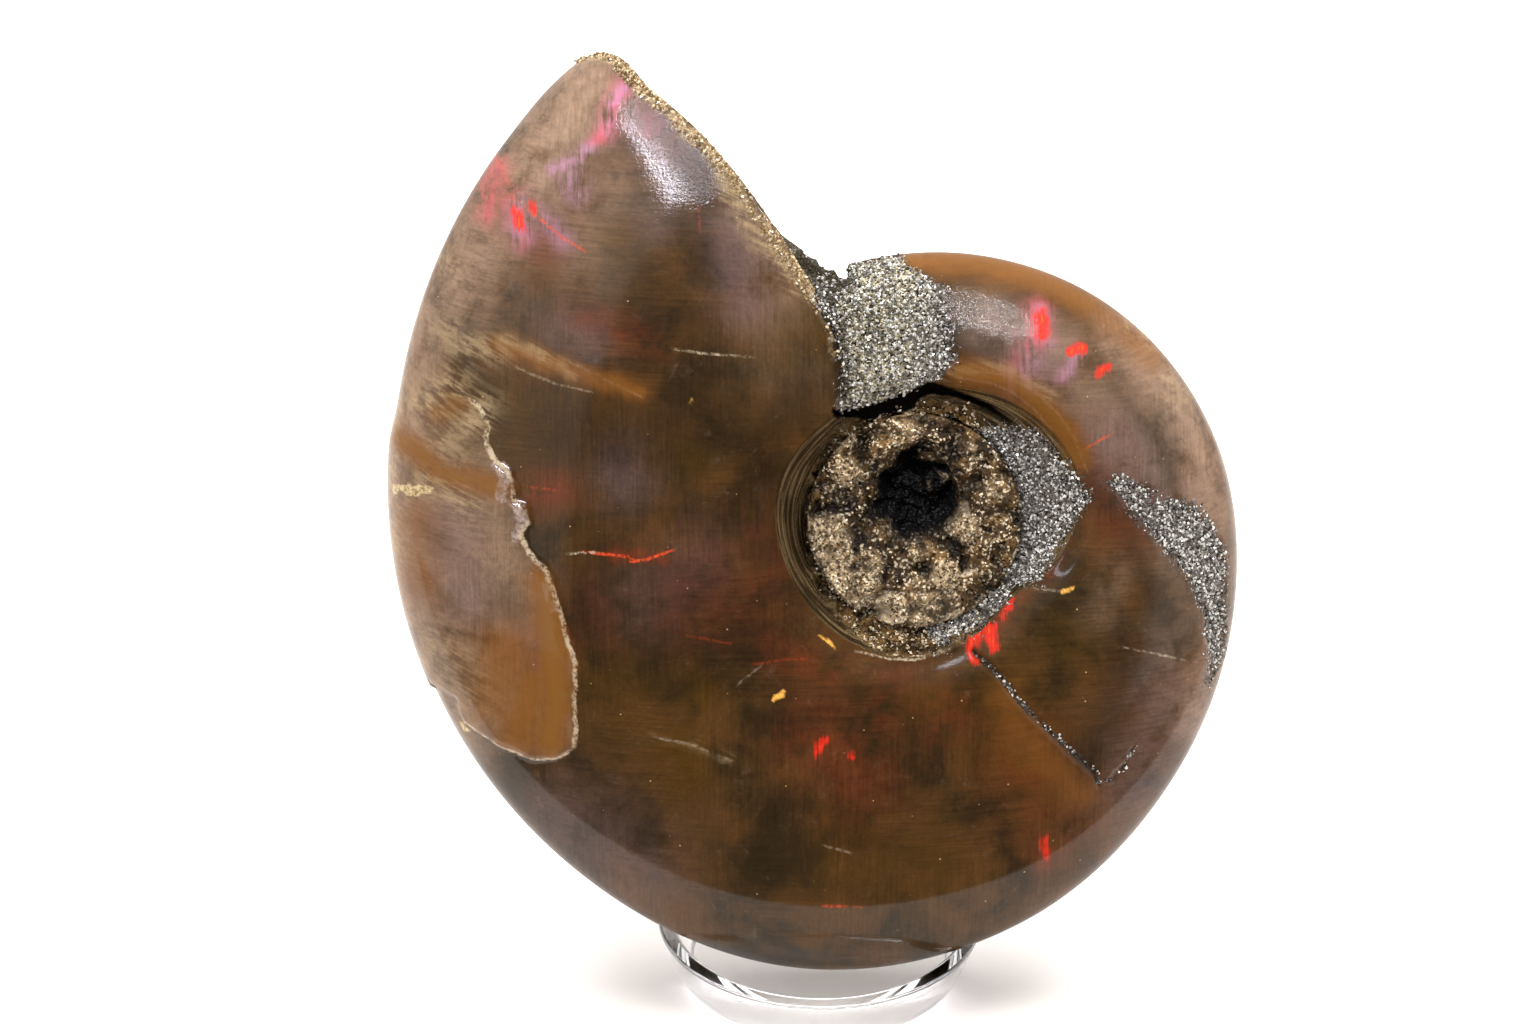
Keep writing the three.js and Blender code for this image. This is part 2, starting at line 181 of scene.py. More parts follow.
def whorl(turn, out):
    """Flank points: turn is the growth angle in degrees, out is 0 at the umbilicus, 1 at the venter."""
    angle = (np.pi / 2) * out**FLANK_SPACING
    reach = np.sin(angle) ** (2 / SECTION_POWER)
    height = np.maximum(np.cos(angle), 0) ** (2 / SECTION_POWER)
    step = NOTCH_STEP * (1 - smooth(turn, 0, NOTCH_TURN))
    rim = umbilicus_radius(turn)
    radius = rim + (venter_radius(turn) - step - rim) * reach
    shoulder = 1 - SHOULDER_ROUND * np.exp(-((out / SHOULDER_REACH) ** 2))
    swing = smooth(turn, LIP_TURN - LIP_SWING_REACH, LIP_TURN) * lip_swing(radius)
    swing += (1 - smooth(turn, 0, CONTACT_SWING_REACH)) * contact_swing(radius)
    direction = np.radians(NOTCH_DIRECTION - turn + swing)
    half_width = WIDTH_TO_VENTER * venter_radius(turn) * height * shoulder
    return np.stack([radius * np.cos(direction), radius * np.sin(direction), half_width], -1)


def basin(direction, share, floor, hole_floor):
    """Points of the round basin inside the umbilicus, whose inner rings close on the hole."""
    towards_hole = smooth(1 - share, 0.15, 0.55)
    down = smooth(share, HOLE_SHARE - 0.05, HOLE_SHARE + 0.07)
    centre = [basin + (hole - basin) * towards_hole for basin, hole in zip(BASIN_CENTRE, HOLE_CENTRE)]
    x = centre[0] + share * BASIN_RADIUS * np.cos(direction)
    y = centre[1] + share * BASIN_RADIUS * np.sin(direction)
    return np.stack([x, y, hole_floor + (floor - hole_floor) * down], -1)


stations = np.linspace(NOTCH_TURN, LIP_TURN, 600)
arc = np.cumsum(venter_radius(stations))
even_arc = np.linspace(arc[0], arc[-1], WHORL_COLUMNS - STEP_COLUMNS)
column_turns = np.concatenate([
    np.linspace(0, NOTCH_TURN, STEP_COLUMNS, endpoint=False),
    np.interp(even_arc, arc, stations),
    np.full(FACE_COLUMNS, LIP_TURN),
])


def outside_points(column, out):
    """Points of the flanks and, past the last whorl column, of the face between lip and early whorl."""
    turn = column_turns[column]
    on_whorl = whorl(turn, out)
    across = np.clip((column - WHORL_COLUMNS + 1) / (FACE_COLUMNS + 1), 0, 1)[..., None]
    on_face = on_whorl * (1 - across) + whorl(0 * out, out) * across
    bowl = np.sqrt(np.sin(np.pi * across)) * out[..., None] ** 0.6
    on_face -= FACE_HOLLOW * bowl * APERTURE_NORMAL
    return np.where((column < WHORL_COLUMNS)[..., None], on_whorl, on_face), turn


def floor_direction(rim):
    """Direction of a rim point, eased so that the aperture's crowded columns spread out on the floor."""
    start = NOTCH_DIRECTION + contact_swing(0)
    around = (start - np.degrees(np.arctan2(rim[..., 1], rim[..., 0])) + 0.01) % 360 - 0.01
    whorl_part = around * FLOOR_WHORL_ARC / RIM_WHORL_ARC
    face_part = 360 - (360 - around) * (360 - FLOOR_WHORL_ARC) / (360 - RIM_WHORL_ARC)
    return np.radians(start - np.where(around < RIM_WHORL_ARC, whorl_part, face_part))


def fossil_points(column, row):
    """Points of the closed surface, with growth angle, outwardness on the flank and depth down the wall."""
    front_total = sum(FRONT_ROWS)
    front = row <= front_total
    inwards = np.where(front, row, front_total + sum(REAR_ROWS) - row)
    basin_rows, wall_rows, flank_rows = (np.where(front, f, r) for f, r in zip(FRONT_ROWS, REAR_ROWS))
    out = np.clip((inwards - basin_rows - wall_rows) / flank_rows, 0, 1)
    down = np.clip(1 - (inwards - basin_rows) / wall_rows, 0, 1)
    share = np.clip(inwards / basin_rows, 0, 1)
    point, turn = outside_points(column, out)
    floor = np.where(front, FRONT_FLOOR, REAR_FLOOR)
    hole_floor = np.where(front, FRONT_HOLE_FLOOR, REAR_HOLE_FLOOR)
    direction = floor_direction(outside_points(column, 0 * out)[0])
    in_basin = basin(direction, share, floor, hole_floor)
    wall = point + (in_basin - point) * down[..., None]
    wall[..., 2] = floor + (point[..., 2] - floor) * (1 - down) ** WALL_CURVE
    point = np.where((share < 1)[..., None], in_basin, wall)
    point[..., 2] *= np.where(front, 1, -1)
    return point, turn, out, down, front


def as_seen(points):
    """Where points appear in the coiling plane from the sight point."""
    reach = SIGHT_POINT[2] / (SIGHT_POINT[2] - points[:, 2:])
    return (SIGHT_POINT + (points - SIGHT_POINT) * reach)[:, :2].T


def signed_distance(x, y, outline, closed=True):
    """Distance in mm from an outline, positive inside it, or minus the distance from a line."""
    best = np.full(x.shape, 1e9)
    inside = np.zeros(x.shape, bool)
    ends = outline[1:] + outline[:1] if closed else outline[1:]
    for (ax, ay), (bx, by) in zip(outline, ends):
        length_squared = max((bx - ax) ** 2 + (by - ay) ** 2, 1e-9)
        along = ((x - ax) * (bx - ax) + (y - ay) * (by - ay)) / length_squared
        along = np.clip(along, 0, 1)
        best = np.minimum(best, np.hypot(x - ax - along * (bx - ax), y - ay - along * (by - ay)))
        if closed and ay != by:
            crosses = (ay > y) != (by > y)
            inside ^= crosses & (x < (bx - ax) * (y - ay) / (by - ay) + ax)
    return np.where(inside, best, -best)


def stroke_strength(x, y, strokes):
    """How strongly soft strokes cover each point: a stroke is its strength, its width in mm and its line."""
    strongest = np.zeros(x.shape)
    for strength, width, *line in strokes:
        away = -signed_distance(x, y, line if len(line) > 1 else line * 2, False)
        strongest = np.maximum(strongest, strength * np.exp(-((away / width) ** 2)))
    return strongest


def line_sides(x, y, lines):
    """How far each point is to one side of the nearest thin line, and how strongly that line shows."""
    best = np.full(x.shape, 1e9)
    side = np.full(x.shape, 9.0)
    strength = np.zeros(x.shape)
    for shown, *line in lines:
        for (ax, ay), (bx, by) in zip(line, line[1:]):
            length = math.hypot(bx - ax, by - ay)
            along = np.clip(((x - ax) * (bx - ax) + (y - ay) * (by - ay)) / length**2, 0, 1)
            away = np.hypot(x - ax - along * (bx - ax), y - ay - along * (by - ay))
            nearer = away < best
            best = np.where(nearer, away, best)
            side = np.where(nearer, ((bx - ax) * (y - ay) - (by - ay) * (x - ax)) / length, side)
            strength = np.where(nearer, shown * np.exp(-((away / THIN_LINE_REACH) ** 2)), strength)
    return side, strength


def roughness_at(points, size, octaves=4):
    """Fractal noise from about -1 to 1 at each point, with lumps of about size mm."""
    return np.array([noise.fractal(Vector(p) / size, 1.0, 2.0, octaves) for p in points.tolist()])


ring_low, ring_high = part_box("display_ring")
ring_middle = (ring_low + ring_high) / 2
fossil_centre = Vector((ring_middle.x, ring_middle.y, 0)) + Vector(CENTRE_FROM_RING) * MM
lean_back = Matrix.Rotation(math.pi / 2 - LEAN, 4, "X")
to_row_frame = Matrix.Translation(fossil_centre) @ lean_back @ Matrix.Scale(MM, 4)


def read_all(items, name, width=1, kind=float):
    """One value, or a row of width values, for each item."""
    values = np.zeros(len(items) * width, kind)
    items.foreach_get(name, values)
    return values if width == 1 else values.reshape(-1, width)


def linked_object(name, data):
    made = bpy.data.objects.new(name, data)
    bpy.context.scene.collection.objects.link(made)
    return made


def corner_order(face):
    """A number that no other face of a mesh has, from the numbers of the face's corners."""
    corners = [vertex.index for vertex in face.verts]
    return min(corners) * 1e6 + sum(corners)


def sphere_mesh(name, columns, rows):
    """A closed sphere of quads, with each vertex's column and row read back from where it lies."""
    mould = bmesh.new()
    bmesh.ops.create_uvsphere(mould, u_segments=columns, v_segments=rows, radius=1)
    bmesh.ops.reverse_faces(mould, faces=mould.faces)
    mould.faces.sort(key=corner_order)  # the faces are made in a different order every time
    mesh = bpy.data.meshes.new(name)
    mould.to_mesh(mesh)
    mould.free()
    x, y, z = read_all(mesh.vertices, "co", 3).T
    column = np.rint(np.arctan2(y, x) / (2 * np.pi) * columns).astype(int) % columns
    row = np.rint(np.arccos(np.clip(z, -1, 1)) / np.pi * rows).astype(int)
    return mesh, column, row


def set_points(mesh, points):
    mesh.vertices.foreach_set("co", points.astype(np.float32).ravel())
    mesh.update()


def set_attribute(mesh, name, values):
    mesh.attributes.new(name, "FLOAT", "POINT").data.foreach_set("value", values.astype(np.float32))


def finished_piece(name, mesh, transform=to_row_frame, shade_smooth=True):
    """Puts a mesh that was laid out in the coiling plane into the row frame and links it as a piece."""
    mesh.transform(transform)
    mesh.polygons.foreach_set("use_smooth", [shade_smooth] * len(mesh.polygons))
    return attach(linked_object(name, mesh), "root")


shell_mesh, column, row = sphere_mesh("polished_fossil", COLUMNS, sum(FRONT_ROWS) + sum(REAR_ROWS))
points, turn, out, down, front = fossil_points(column, row)
set_points(shell_mesh, points)
normals = read_all(shell_mesh.vertex_normals, "vector", 3)

x, y = as_seen(points)
z = points[:, 2]
chips = roughness_at(points, CHIP_SIZE)
bumps = roughness_at(points + 40, BUMP_SIZE, 3)
show = front & (z > 0)
OFF = -50.0  # the distance given to points that are nowhere near a mark
layer = np.where(show, signed_distance(x, y, LAYER_OUTLINE), OFF)
rock = np.maximum(signed_distance(x, y, BLOCK_OUTLINE), signed_distance(x, y, BAND_OUTLINE))
rock = np.where(show, np.maximum(rock, signed_distance(x, y, CRESCENT_OUTLINE)), OFF)
branch = signed_distance(x, y, CRACK_BRANCH, False) - BRANCH_NARROWING
crack = np.maximum(signed_distance(x, y, CRACK_LINE, False), branch)
crack = np.where(show, crack + CRACK_HALF_WIDTH, OFF)
gap = np.where(show & (z > GAP_FLOOR), signed_distance(x, y, GAP_OUTLINE), OFF)
druse = np.where(show & (down > 0), signed_distance(x, y, DRUSE_OUTLINE), OFF)
on_face = (column >= WHORL_COLUMNS) * out
from_centre = np.hypot(points[:, 0], points[:, 1])
lip = np.where(column < WHORL_COLUMNS, np.radians(LIP_TURN - turn) * from_centre, -on_face)
in_rear = (~front) * np.where(out > 0, 0, 0.3 + 0.7 * down)

layer_fade = 1 - smooth(y, *LAYER_END)
raised = LAYER_THICKNESS * smooth(layer + 0.35 * chips, -0.1, 0.25) * layer_fade
lowered = ROCK_DEPTH * smooth(rock + 0.4 * chips, -0.15, 0.3) * (out > 0)
lowered += CRACK_DEPTH * smooth(crack + 0.25 * chips, -0.1, 0.35)
crumbly = np.maximum(smooth(on_face, 0.02, 0.2), in_rear)
height = raised - lowered + crumbly * (0.4 * chips + 0.2 * bumps)
height += EDGE_BUMPS * bumps * smooth(rock, -0.2, 0.5) * (crumbly < 0.5)
golden_edge = smooth(1.8 + chips - lip, 0, 0.8) * (lip > 0) * front
height += EDGE_BUMPS * bumps * golden_edge
crusted = smooth(druse + 0.8 * chips, -0.3, 1.0) * smooth(down, 1.0, 0.93)
height += crusted * (0.7 + 0.8 * smooth(down, 0.5, 0.9) + 0.8 * chips + 0.3 * bumps)
points = points + normals * height[:, None]
points[:, 2] += (GAP_FLOOR - points[:, 2]) * smooth(gap + 0.25 * chips, -0.1, 0.3)
set_points(shell_mesh, points)

# Soft marks on the show flank: the strength and width in mm of each, then the points of its line.
# Pale haze, partly painted reflection: its strokes lighten the shell mostly along the left and right edges
# and at the tip.
HAZE_AND_RIM_SHEEN = [
    (0.42, 4.5, (-17, 24), (-14.5, 18)), (0.8, 1.6, (-59.5, 20), (-61, 8), (-61, -2)),
    (1, 5.6, (-38.2, 50), (-45.3, 40)), (0.8, 5.9, (-48.2, 37.6), (-54.1, 27.1)),
    (0.5, 4.9, (-35.9, 38.8), (-38.2, 31.8)), (0.9, 3.5, (-57.6, 24.1), (-60.1, 11.8)),
    (0.85, 2, (-61.2, 5.9), (-60.9, -7.1), (-59.2, -16.5)), (0.5, 3.1, (-56.8, -21.2), (-52.4, -26.5)),
    (0.95, 3.8, (24.1, 21.8), (32.4, 11.8), (34.9, 0)),
    (0.7, 2.6, (36.1, -4.7), (35.2, -15.3), (32.6, -24.1)), (0.5, 4, (20, 14.1), (26.5, 5.9)),
    (0.6, 3.5, (8.2, 22.9), (17.1, 20)), (0.45, 3.1, (-19.4, 34.7), (-16.1, 27.6), (-13.5, 22.4)),
    (0.35, 4, (30, -4.7), (32.4, -21.2)), (0.3, 2.6, (21.8, -11.8), (24.7, -4.7)),
]
PLUM = [
    (0.75, 3.5, (-21.2, 33.5), (-20, 25.9)), (0.55, 2.8, (-31.2, 34.4)),
    (0.5, 3.1, (-41.8, 22.4), (-38, 20.9)), (0.6, 4.2, (-34.6, 5.4)),
    (0.6, 4, (-54.7, 0), (-52.9, -9.4)), (0.6, 4.2, (22.4, 9.4), (28.8, 2.4)),
    (0.55, 3.5, (10, 20), (14.7, 17.1)), (0.5, 2.8, (-40, 40)),
    (0.45, 5.4, (29.4, -21.2), (25.3, -32.9)), (0.4, 5.9, (-41.8, -35.3), (-32.4, -42.4)),
    (0.35, 4.7, (-25.3, -4.7), (-32.4, -9.4)),
]
OLIVE = [
    (0.75, 4, (-34.1, 32.7)), (0.8, 4.5, (-14.7, 19.4), (-10.9, 22.4)),
    (0.95, 3.1, (-27.2, -30.6), (-28.2, -27.3)), (0.7, 2.6, (-25.3, -20.5)),
    (0.6, 5.2, (-48.8, 12.4), (-44.1, 9.4)), (0.5, 5.9, (-34.7, -21.2)),
    (0.55, 5.6, (-7.6, -40), (1.8, -41.2)), (0.7, 2.8, (-26.5, 7.6)),
    (0.5, 4.7, (10, -21.2), (14.7, -31.8)), (0.6, 3.5, (19.4, -14.1)), (0.45, 4.2, (-52.4, 8.2)),
]
RED_GLOW = [
    (0.9, 0.9, (-35.5, -4.1), (-29.5, -4.6)), (0.8, 2.4, (-44.7, 3.3), (-42.4, 3.5)),
    (0.5, 3.8, (-45.9, -16.5), (-43.5, -14.1)),
    (0.6, 1.9, (-38.8, 23.8), (-30.6, 20.6)), (0.5, 3.1, (-48.8, 38.2), (-43.5, 31.8)),
    (0.5, 2.8, (-16.5, -15.5), (-10, -17.9)), (0.4, 4, (-1.8, -20), (-4.1, -24.7)),
    (0.55, 4, (3.5, -23.3)), (0.85, 1.2, (17.8, 0.6), (16.6, -3.1), (15.3, -6.5)),
    (0.8, 1.1, (12.4, -8.2), (10.9, -10.8), (8.2, -14.1)), (0.4, 5.6, (12.4, -28.2), (15.9, -37.6)),
    (0.75, 1.3, (15.9, -37.4), (15.5, -41.4)), (0.55, 5.9, (-11.2, -25.9), (-6.5, -30.6)),
    (0.35, 7.1, (-25.3, -9.4), (-18.2, -7.1)), (0.4, 3.5, (21.8, 2.4), (24.1, -1.2)),
    (0.3, 5.2, (-37.1, -11.8)),
]
AMBER = [
    (1, 2, (-43.5, -7.6), (-42.7, -14.1), (-42.1, -21.2), (-43.2, -26.1)),
    (0.8, 2.8, (-45.3, -20), (-46.5, -25.3)), (0.55, 3.5, (-48.8, -21.2), (-48.2, -15.3)),
    (0.9, 1.3, (-60.8, 9.9), (-57.6, 7.6), (-55.1, 5.4), (-48.8, 3.8)),
    (0.65, 1.1, (-48.8, 20.6), (-43.2, 18.6), (-37.1, 16.5), (-32.4, 15.1)),
    (0.45, 1.4, (-55.9, 12.4), (-52.4, 14.7)),
    (0.7, 1.8, (-1.2, 30.4), (6.5, 30.4), (14.1, 28.5), (20.6, 25.3)),
    (0.5, 1.9, (21.8, 24.1), (27.6, 19.4)),
    (0.8, 1.5, (5.3, 17.4), (11.2, 16.5), (15.9, 12.4), (19.4, 7.6)),
    (0.3, 2.2, (10.6, -21.2), (14.7, -28.2), (20, -32.9)), (0.2, 3.1, (1.8, -21.2)),
    (0.4, 2.6, (-58.8, 0), (-58.2, -7.1)),
]
CREAM = [
    (0.85, 1.3, (-22.6, 40), (-20.2, 35.6), (-17.3, 31.4), (-14.4, 27.6)),
    (0.5, 3, (-56, 12.5), (-54.5, 9)),
    (0.6, 1.6, (-60.3, 17), (-61.3, 6), (-61, -4)),
    (0.9, 2.4, (-57.6, 13.5), (-54.1, 15.9)), (0.7, 1.6, (-55.3, 22.4), (-53.5, 20.6), (-48.8, 19.8)),
    (0.8, 1.9, (-52.4, 11.2), (-50.6, 13.5)), (0.8, 0.7, (-48.2, 21.2), (-44.1, 19.4), (-40, 17.4)),
    (0.5, 1.4, (-55.3, 30.4), (-53.8, 29.2)), (0.7, 1.8, (-57.1, 4.7), (-52.4, 2.4)),
    (0.4, 3.5, (-55.9, -16.5), (-52.4, -20)), (0.6, 1.2, (25.3, 22.4), (27.6, 20.6)),
    (0.5, 1.4, (29.4, 16.5), (31.2, 14.1)), (0.5, 0.8, (1.2, 16.7), (10, 18.2), (15.9, 14.7)),
    (0.3, 0.6, (-22, -28.6), (-26.5, -26.4), (-31.2, -25.6)),
]
ROSE = [
    (1, 1.2, (-33.8, 50.6), (-35.1, 48.8), (-35.8, 45.4)),
    (0.8, 0.7, (-36.4, 45.2), (-38.8, 42.6), (-42.2, 40.9)), (0.45, 1.3, (-40.1, 39.8), (-39.4, 37.9)),
    (0.75, 1.4, (14.2, 24.5), (14.6, 21.2)), (0.5, 0.8, (18.9, 19.8), (17.3, 16.7)),
    (0.2, 2.4, (-32.8, 47.3), (-30.6, 45.3)), (0.35, 1.9, (13.5, 20), (12.4, 17.4)),
    (0.6, 1.6, (-46.5, 37.1), (-46, 33.5)), (0.4, 1.4, (-44.1, 35.9), (-41.2, 32.9)),
    (0.4, 1.4, (-48.8, 41.2), (-50, 35.9)),
]
FLASHES = [
    (1, 0.9, (-46.5, 36), (-46.1, 34.4)), (0.8, 0.6, (-44.8, 36.8), (-44.4, 36.1)),
    (0.95, 0.6, (-10.7, -26.4), (-11.2, -27.8)), (0.6, 0.6, (-7.5, -28)),
    (1, 1.1, (14.5, 23.8), (14.8, 22.2)), (1, 0.7, (18.1, 20), (19.5, 20.2)),
    (0.9, 0.6, (21.4, 17.2), (22.4, 18)), (1, 0.8, (7.5, -12.9), (6.7, -15.3)),
    (1, 0.7, (8.9, -12.9), (9.3, -15.1)), (0.85, 0.6, (6.4, -15.9), (7.4, -16.8)),
    (0.75, 0.6, (11.3, -9.4), (10.4, -11.5)), (0.6, 0.6, (17.8, 0), (16.7, -2.9)),
    (0.55, 0.7, (15.6, -38.6), (15.9, -40.2)),
]
SPARKS = [
    (1, 0.5, (-16.6, -21.2), (-15.4, -20.8)), (0.9, 0.5, (17.5, -8.6), (18.8, -8.4)),
    (0.9, 0.5, (-11.1, -14), (-9.4, -14.9)), (0.55, 0.6, (-26.5, 13.6), (-26.2, 14.1)),
]
# Darker strokes; the two narrow ones by the notch, on the aperture face seen edge-on and along the block's
# left edge, are painted shade.
DARK_AND_SHADE = [
    (0.4, 5.5, (-28, -9), (-20, -11), (-14, -20)), (0.35, 3.5, (-26, 2), (-22, -4)),
    (0.95, 0.8, (-14.7, 30.8), (-11.2, 29.2), (-7.4, 27.6)),
    (0.9, 0.9, (-10.2, 23.8), (-8.9, 20), (-8.6, 14.7)), (0.7, 3.1, (-13.5, 14.7), (-17.1, 10.6)),
    (0.6, 5.9, (-41.8, 9.4), (-32.4, 10.6), (-22.9, 11.8)), (0.7, 3.5, (-17.6, 5.9), (-17.6, -4.7)),
    (0.2, 5.9, (-37.1, -28.2), (-30, -36.5), (-18.2, -42.4)), (0.5, 3.5, (-25.3, 22.4), (-32.4, 24.7)),
    (0.6, 0.4, (-35.2, 40), (-31.2, 40.7), (-26.9, 40.4)),
    (0.7, 0.4, (-54.9, -12.9), (-52.4, -13.8), (-49.3, -14.2)),
    (0.6, 3.1, (20.6, -28.2), (24.1, -21.2), (24.7, -14.1)), (0.15, 4.7, (-7.6, -35.3), (2.9, -36.5)),
    (0.6, 2.1, (20.6, 4.7), (26.5, -4.7), (29.4, -11.8)), (0.5, 1.9, (-49.4, 14.7), (-48.8, 10.6)),
    (0.55, 4, (-39.4, -9.4), (-37.1, -2.4)), (0.4, 2.4, (5.3, 20), (10, 19.4)),
]
GOLD = [
    (1, 1.4, (-39.8, 53.9), (-37.1, 53.4), (-33.5, 51.1), (-30.5, 48.7)),
    (0.9, 1.4, (-29.5, 46.8), (-26.5, 44.5), (-23.4, 42)),
    (0.9, 1.9, (-23.4, 42), (-21.8, 37.6), (-19.2, 33.9)),
    (1, 2.2, (-19.2, 33.9), (-16.5, 30.1), (-13.5, 27.3)),
    (0.4, 0.7, (-12.6, 25.9), (-10.6, 22.9), (-9.5, 18.8)),
]
PITTED = [
    (1, 2.4, (-31.4, 48), (-28.1, 44), (-24.6, 40.2)), (1, 2.6, (4.7, 25.6), (8.2, 24.5), (11.2, 23.3)),
]
LEDGE = [
    (1, 1.6, (-51, 14.2), (-49.4, 8), (-48.5, 2.8), (-46.7, -1), (-43.4, -8), (-42, -13)),
    (0.8, 1.8, (-42, -13), (-40.6, -19), (-40.5, -24.1), (-41.8, -26.8)),
    (0.7, 1.8, (-41.8, -26.8), (-45.1, -28.4), (-49, -27.6), (-53, -24.5)),
]
BULGES = [
    (1, 0.9, (-49.2, 6.6), (-47.9, 5), (-48.6, 2.6)),
    (1, 0.8, (-46.9, 1.2), (-45.9, -0.2), (-46.9, -1.9)),
    (0.8, 0.6, (-43.4, -7.4), (-42.4, -10.6)),
]
CHIP = [
    (1, 0.7, (-60.4, 3.7), (-56.9, 3.5)), (0.7, 0.6, (-53.5, -24), (-52.8, -25.2)),
]
# Thin lines: the strength of each, then its points.
RED_LINES = [
    (0.5, (-49.2, 42.7), (-48.1, 40.9), (-47.1, 38.1), (-46.4, 36)),
    (0.65, (-45.3, 36.5), (-43.3, 34.8), (-41.5, 33.2), (-39.2, 31.8)),
    (0.85, (-38.2, -3.9), (-33.8, -4.4)), (0.8, (-33.3, -4.9), (-31.8, -4.8), (-29.3, -3.9)),
    (0.4, (-26.7, -13.8), (-22, -14.7)), (0.42, (-18.8, -17.2), (-15.9, -16.7), (-13.2, -16.6)),
    (0.6, (20.7, 8.8), (22.4, 9.8)), (0.6, (-10, -46.4), (-6.5, -46.5)),
    (0.42, (-25.4, 36.2), (-25.2, 34.1)), (0.45, (-45.8, 3.9), (-42.7, 3.5)),
    (0.4, (-50.7, 38.8), (-50, 36), (-49.1, 32.9)),
]
# Pale scratches; the line round the umbilicus's lower rim, from (-5.8, -15.9) to (5.8, -14.4), is a painted
# highlight.
SCRATCHES_AND_RIM_GLINT = [
    (0.9, (-27.8, 20), (-25.3, 19.6), (-20.1, 19.2)), (0.65, (24.8, -15.2), (32.6, -16.8)),
    (0.8, (-40.1, -4), (-38.2, -3.9)), (0.45, (-20.6, -19.4), (-18.4, -17.6)),
    (0.5, (-46.5, 17.8), (-42.2, 16), (-38.2, 15.1)),
    (1, (-5.8, -15.9), (-2.9, -16.6), (0, -16.7), (2.9, -16), (5.8, -14.4)),
    (0.6, (11.9, -8), (17.5, -8.5)), (0.5, (-30.2, -26.1), (-26.5, -26.8), (-22, -28.6)),
    (0.5, (-10.1, -39.2), (-8, -39.8)), (0.42, (-41.8, 19.2), (-38.2, 17.4), (-32.4, 14.6)),
    (0.42, (5.3, 16.7), (8.8, 16.1), (11.2, 15.1), (13.8, 13.1), (16.1, 10.4), (18.5, 5.9)),
    (0.42, (5.9, 17.5), (10, 17.1), (13.5, 15.4), (16.5, 12.7), (18.8, 9.4), (20.1, 5.9)),
]
MARKS = {
    "haze": HAZE_AND_RIM_SHEEN, "plum": PLUM, "olive": OLIVE, "glow": RED_GLOW, "amber": AMBER, "cream": CREAM,
    "rose": ROSE, "flash": FLASHES, "dark": DARK_AND_SHADE, "gold": GOLD, "pitted": PITTED, "ledge": LEDGE,
    "bulge": BULGES, "chip": CHIP, "spark": SPARKS,
}
ragged_x = x + RAGGEDNESS * roughness_at(points + 9, MARK_RAGS, 3)
ragged_y = y + RAGGEDNESS * roughness_at(points - 9, MARK_RAGS, 3)
just_off_layer = smooth(layer, 0.2, -0.2) * smooth(layer, -6, -5)
for name, strokes in MARKS.items():
    strength = np.where(show, stroke_strength(ragged_x, ragged_y, strokes), 0)
    if name == "amber":
        strength *= 1 - just_off_layer
    set_attribute(shell_mesh, name, strength)
for name, lines in (("red_line", RED_LINES), ("scratch", SCRATCHES_AND_RIM_GLINT)):
    side, strength = line_sides(x, y, lines)
    set_attribute(shell_mesh, name + "_side", side)
    set_attribute(shell_mesh, name, np.where(show, strength, 0))
measures = {
    "layer": layer, "layer_fade": layer_fade, "rock": rock, "crack": crack, "gap": gap,
    "lip": np.where(front, lip, -OFF), "druse": druse, "crumbly": crumbly, "turn": turn, "out": out,
    "down": down,
}
for name, values in measures.items():
    set_attribute(shell_mesh, name, values)

fossil = finished_piece("polished_fossil", shell_mesh)
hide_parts("ammonite")


def new_material(name):
    """A node material with its shader, and a function that adds nodes and links what they are given."""
    material = bpy.data.materials.new(name)
    material.use_nodes = True
    tree = material.node_tree
    shader = tree.nodes["Principled BSDF"]

    def add(kind, inputs, output=0, **settings):
        made = tree.nodes.new("ShaderNode" + kind)
        for key, value in settings.items():
            setattr(made, key, value)
        for key, value in inputs.items():
            if isinstance(value, bpy.types.NodeSocket):
                tree.links.new(value, made.inputs[key])
            else:
                made.inputs[key].default_value = value
        return made.outputs[output]

    return material, tree, shader, add


shell_look, tree, shader, add = new_material("polished shell and rock")


def wire(value, name):
    """Links a value to an input of the shader."""
    tree.links.new(value, shader.inputs[name])


def mark(name):
    """A mark or measure that was noted at the vertices."""
    return add("Attribute", {}, "Fac", attribute_name=name)


def maths(operation, a, b=0.0):
    return add("Math", {0: a, 1: b}, operation=operation)


def times(a, b):
    return maths("MULTIPLY", a, b)


def plus(a, b):
    return maths("ADD", a, b)


def between(value, low, high, smoothly=True):
    """0 below low and 1 above high."""
    kind = "SMOOTHSTEP" if smoothly else "LINEAR"
    return add("MapRange", {"Value": value, "From Min": low, "From Max": high}, interpolation_type=kind)


def blend(factor, a, b, how="MIX"):
    """Mixes two values or colours: a where the factor is 0, b where it is 1."""
    a, b = ((*side, 1) if isinstance(side, tuple) else side for side in (a, b))
    return add("Mix", {0: factor, 6: a, 7: b}, 2, data_type="RGBA", blend_type=how)


def grain(vector, scale, detail=4.0, roughness=0.55, distortion=0.0):
    inputs = {"Vector": vector, "Scale": scale, "Detail": detail}
    inputs.update({"Roughness": roughness, "Distortion": distortion})
    return add("TexNoise", inputs, "Fac")


def cell_pattern(scale):
    """Distance from the middle of the nearest cell, and a tone from 0 to 1 that each cell has."""
    cells = add("TexVoronoi", {"Vector": place, "Scale": scale}, "Distance").node
    return cells.outputs["Distance"], add("SeparateColor", {"Color": cells.outputs["Color"]}, "Red")


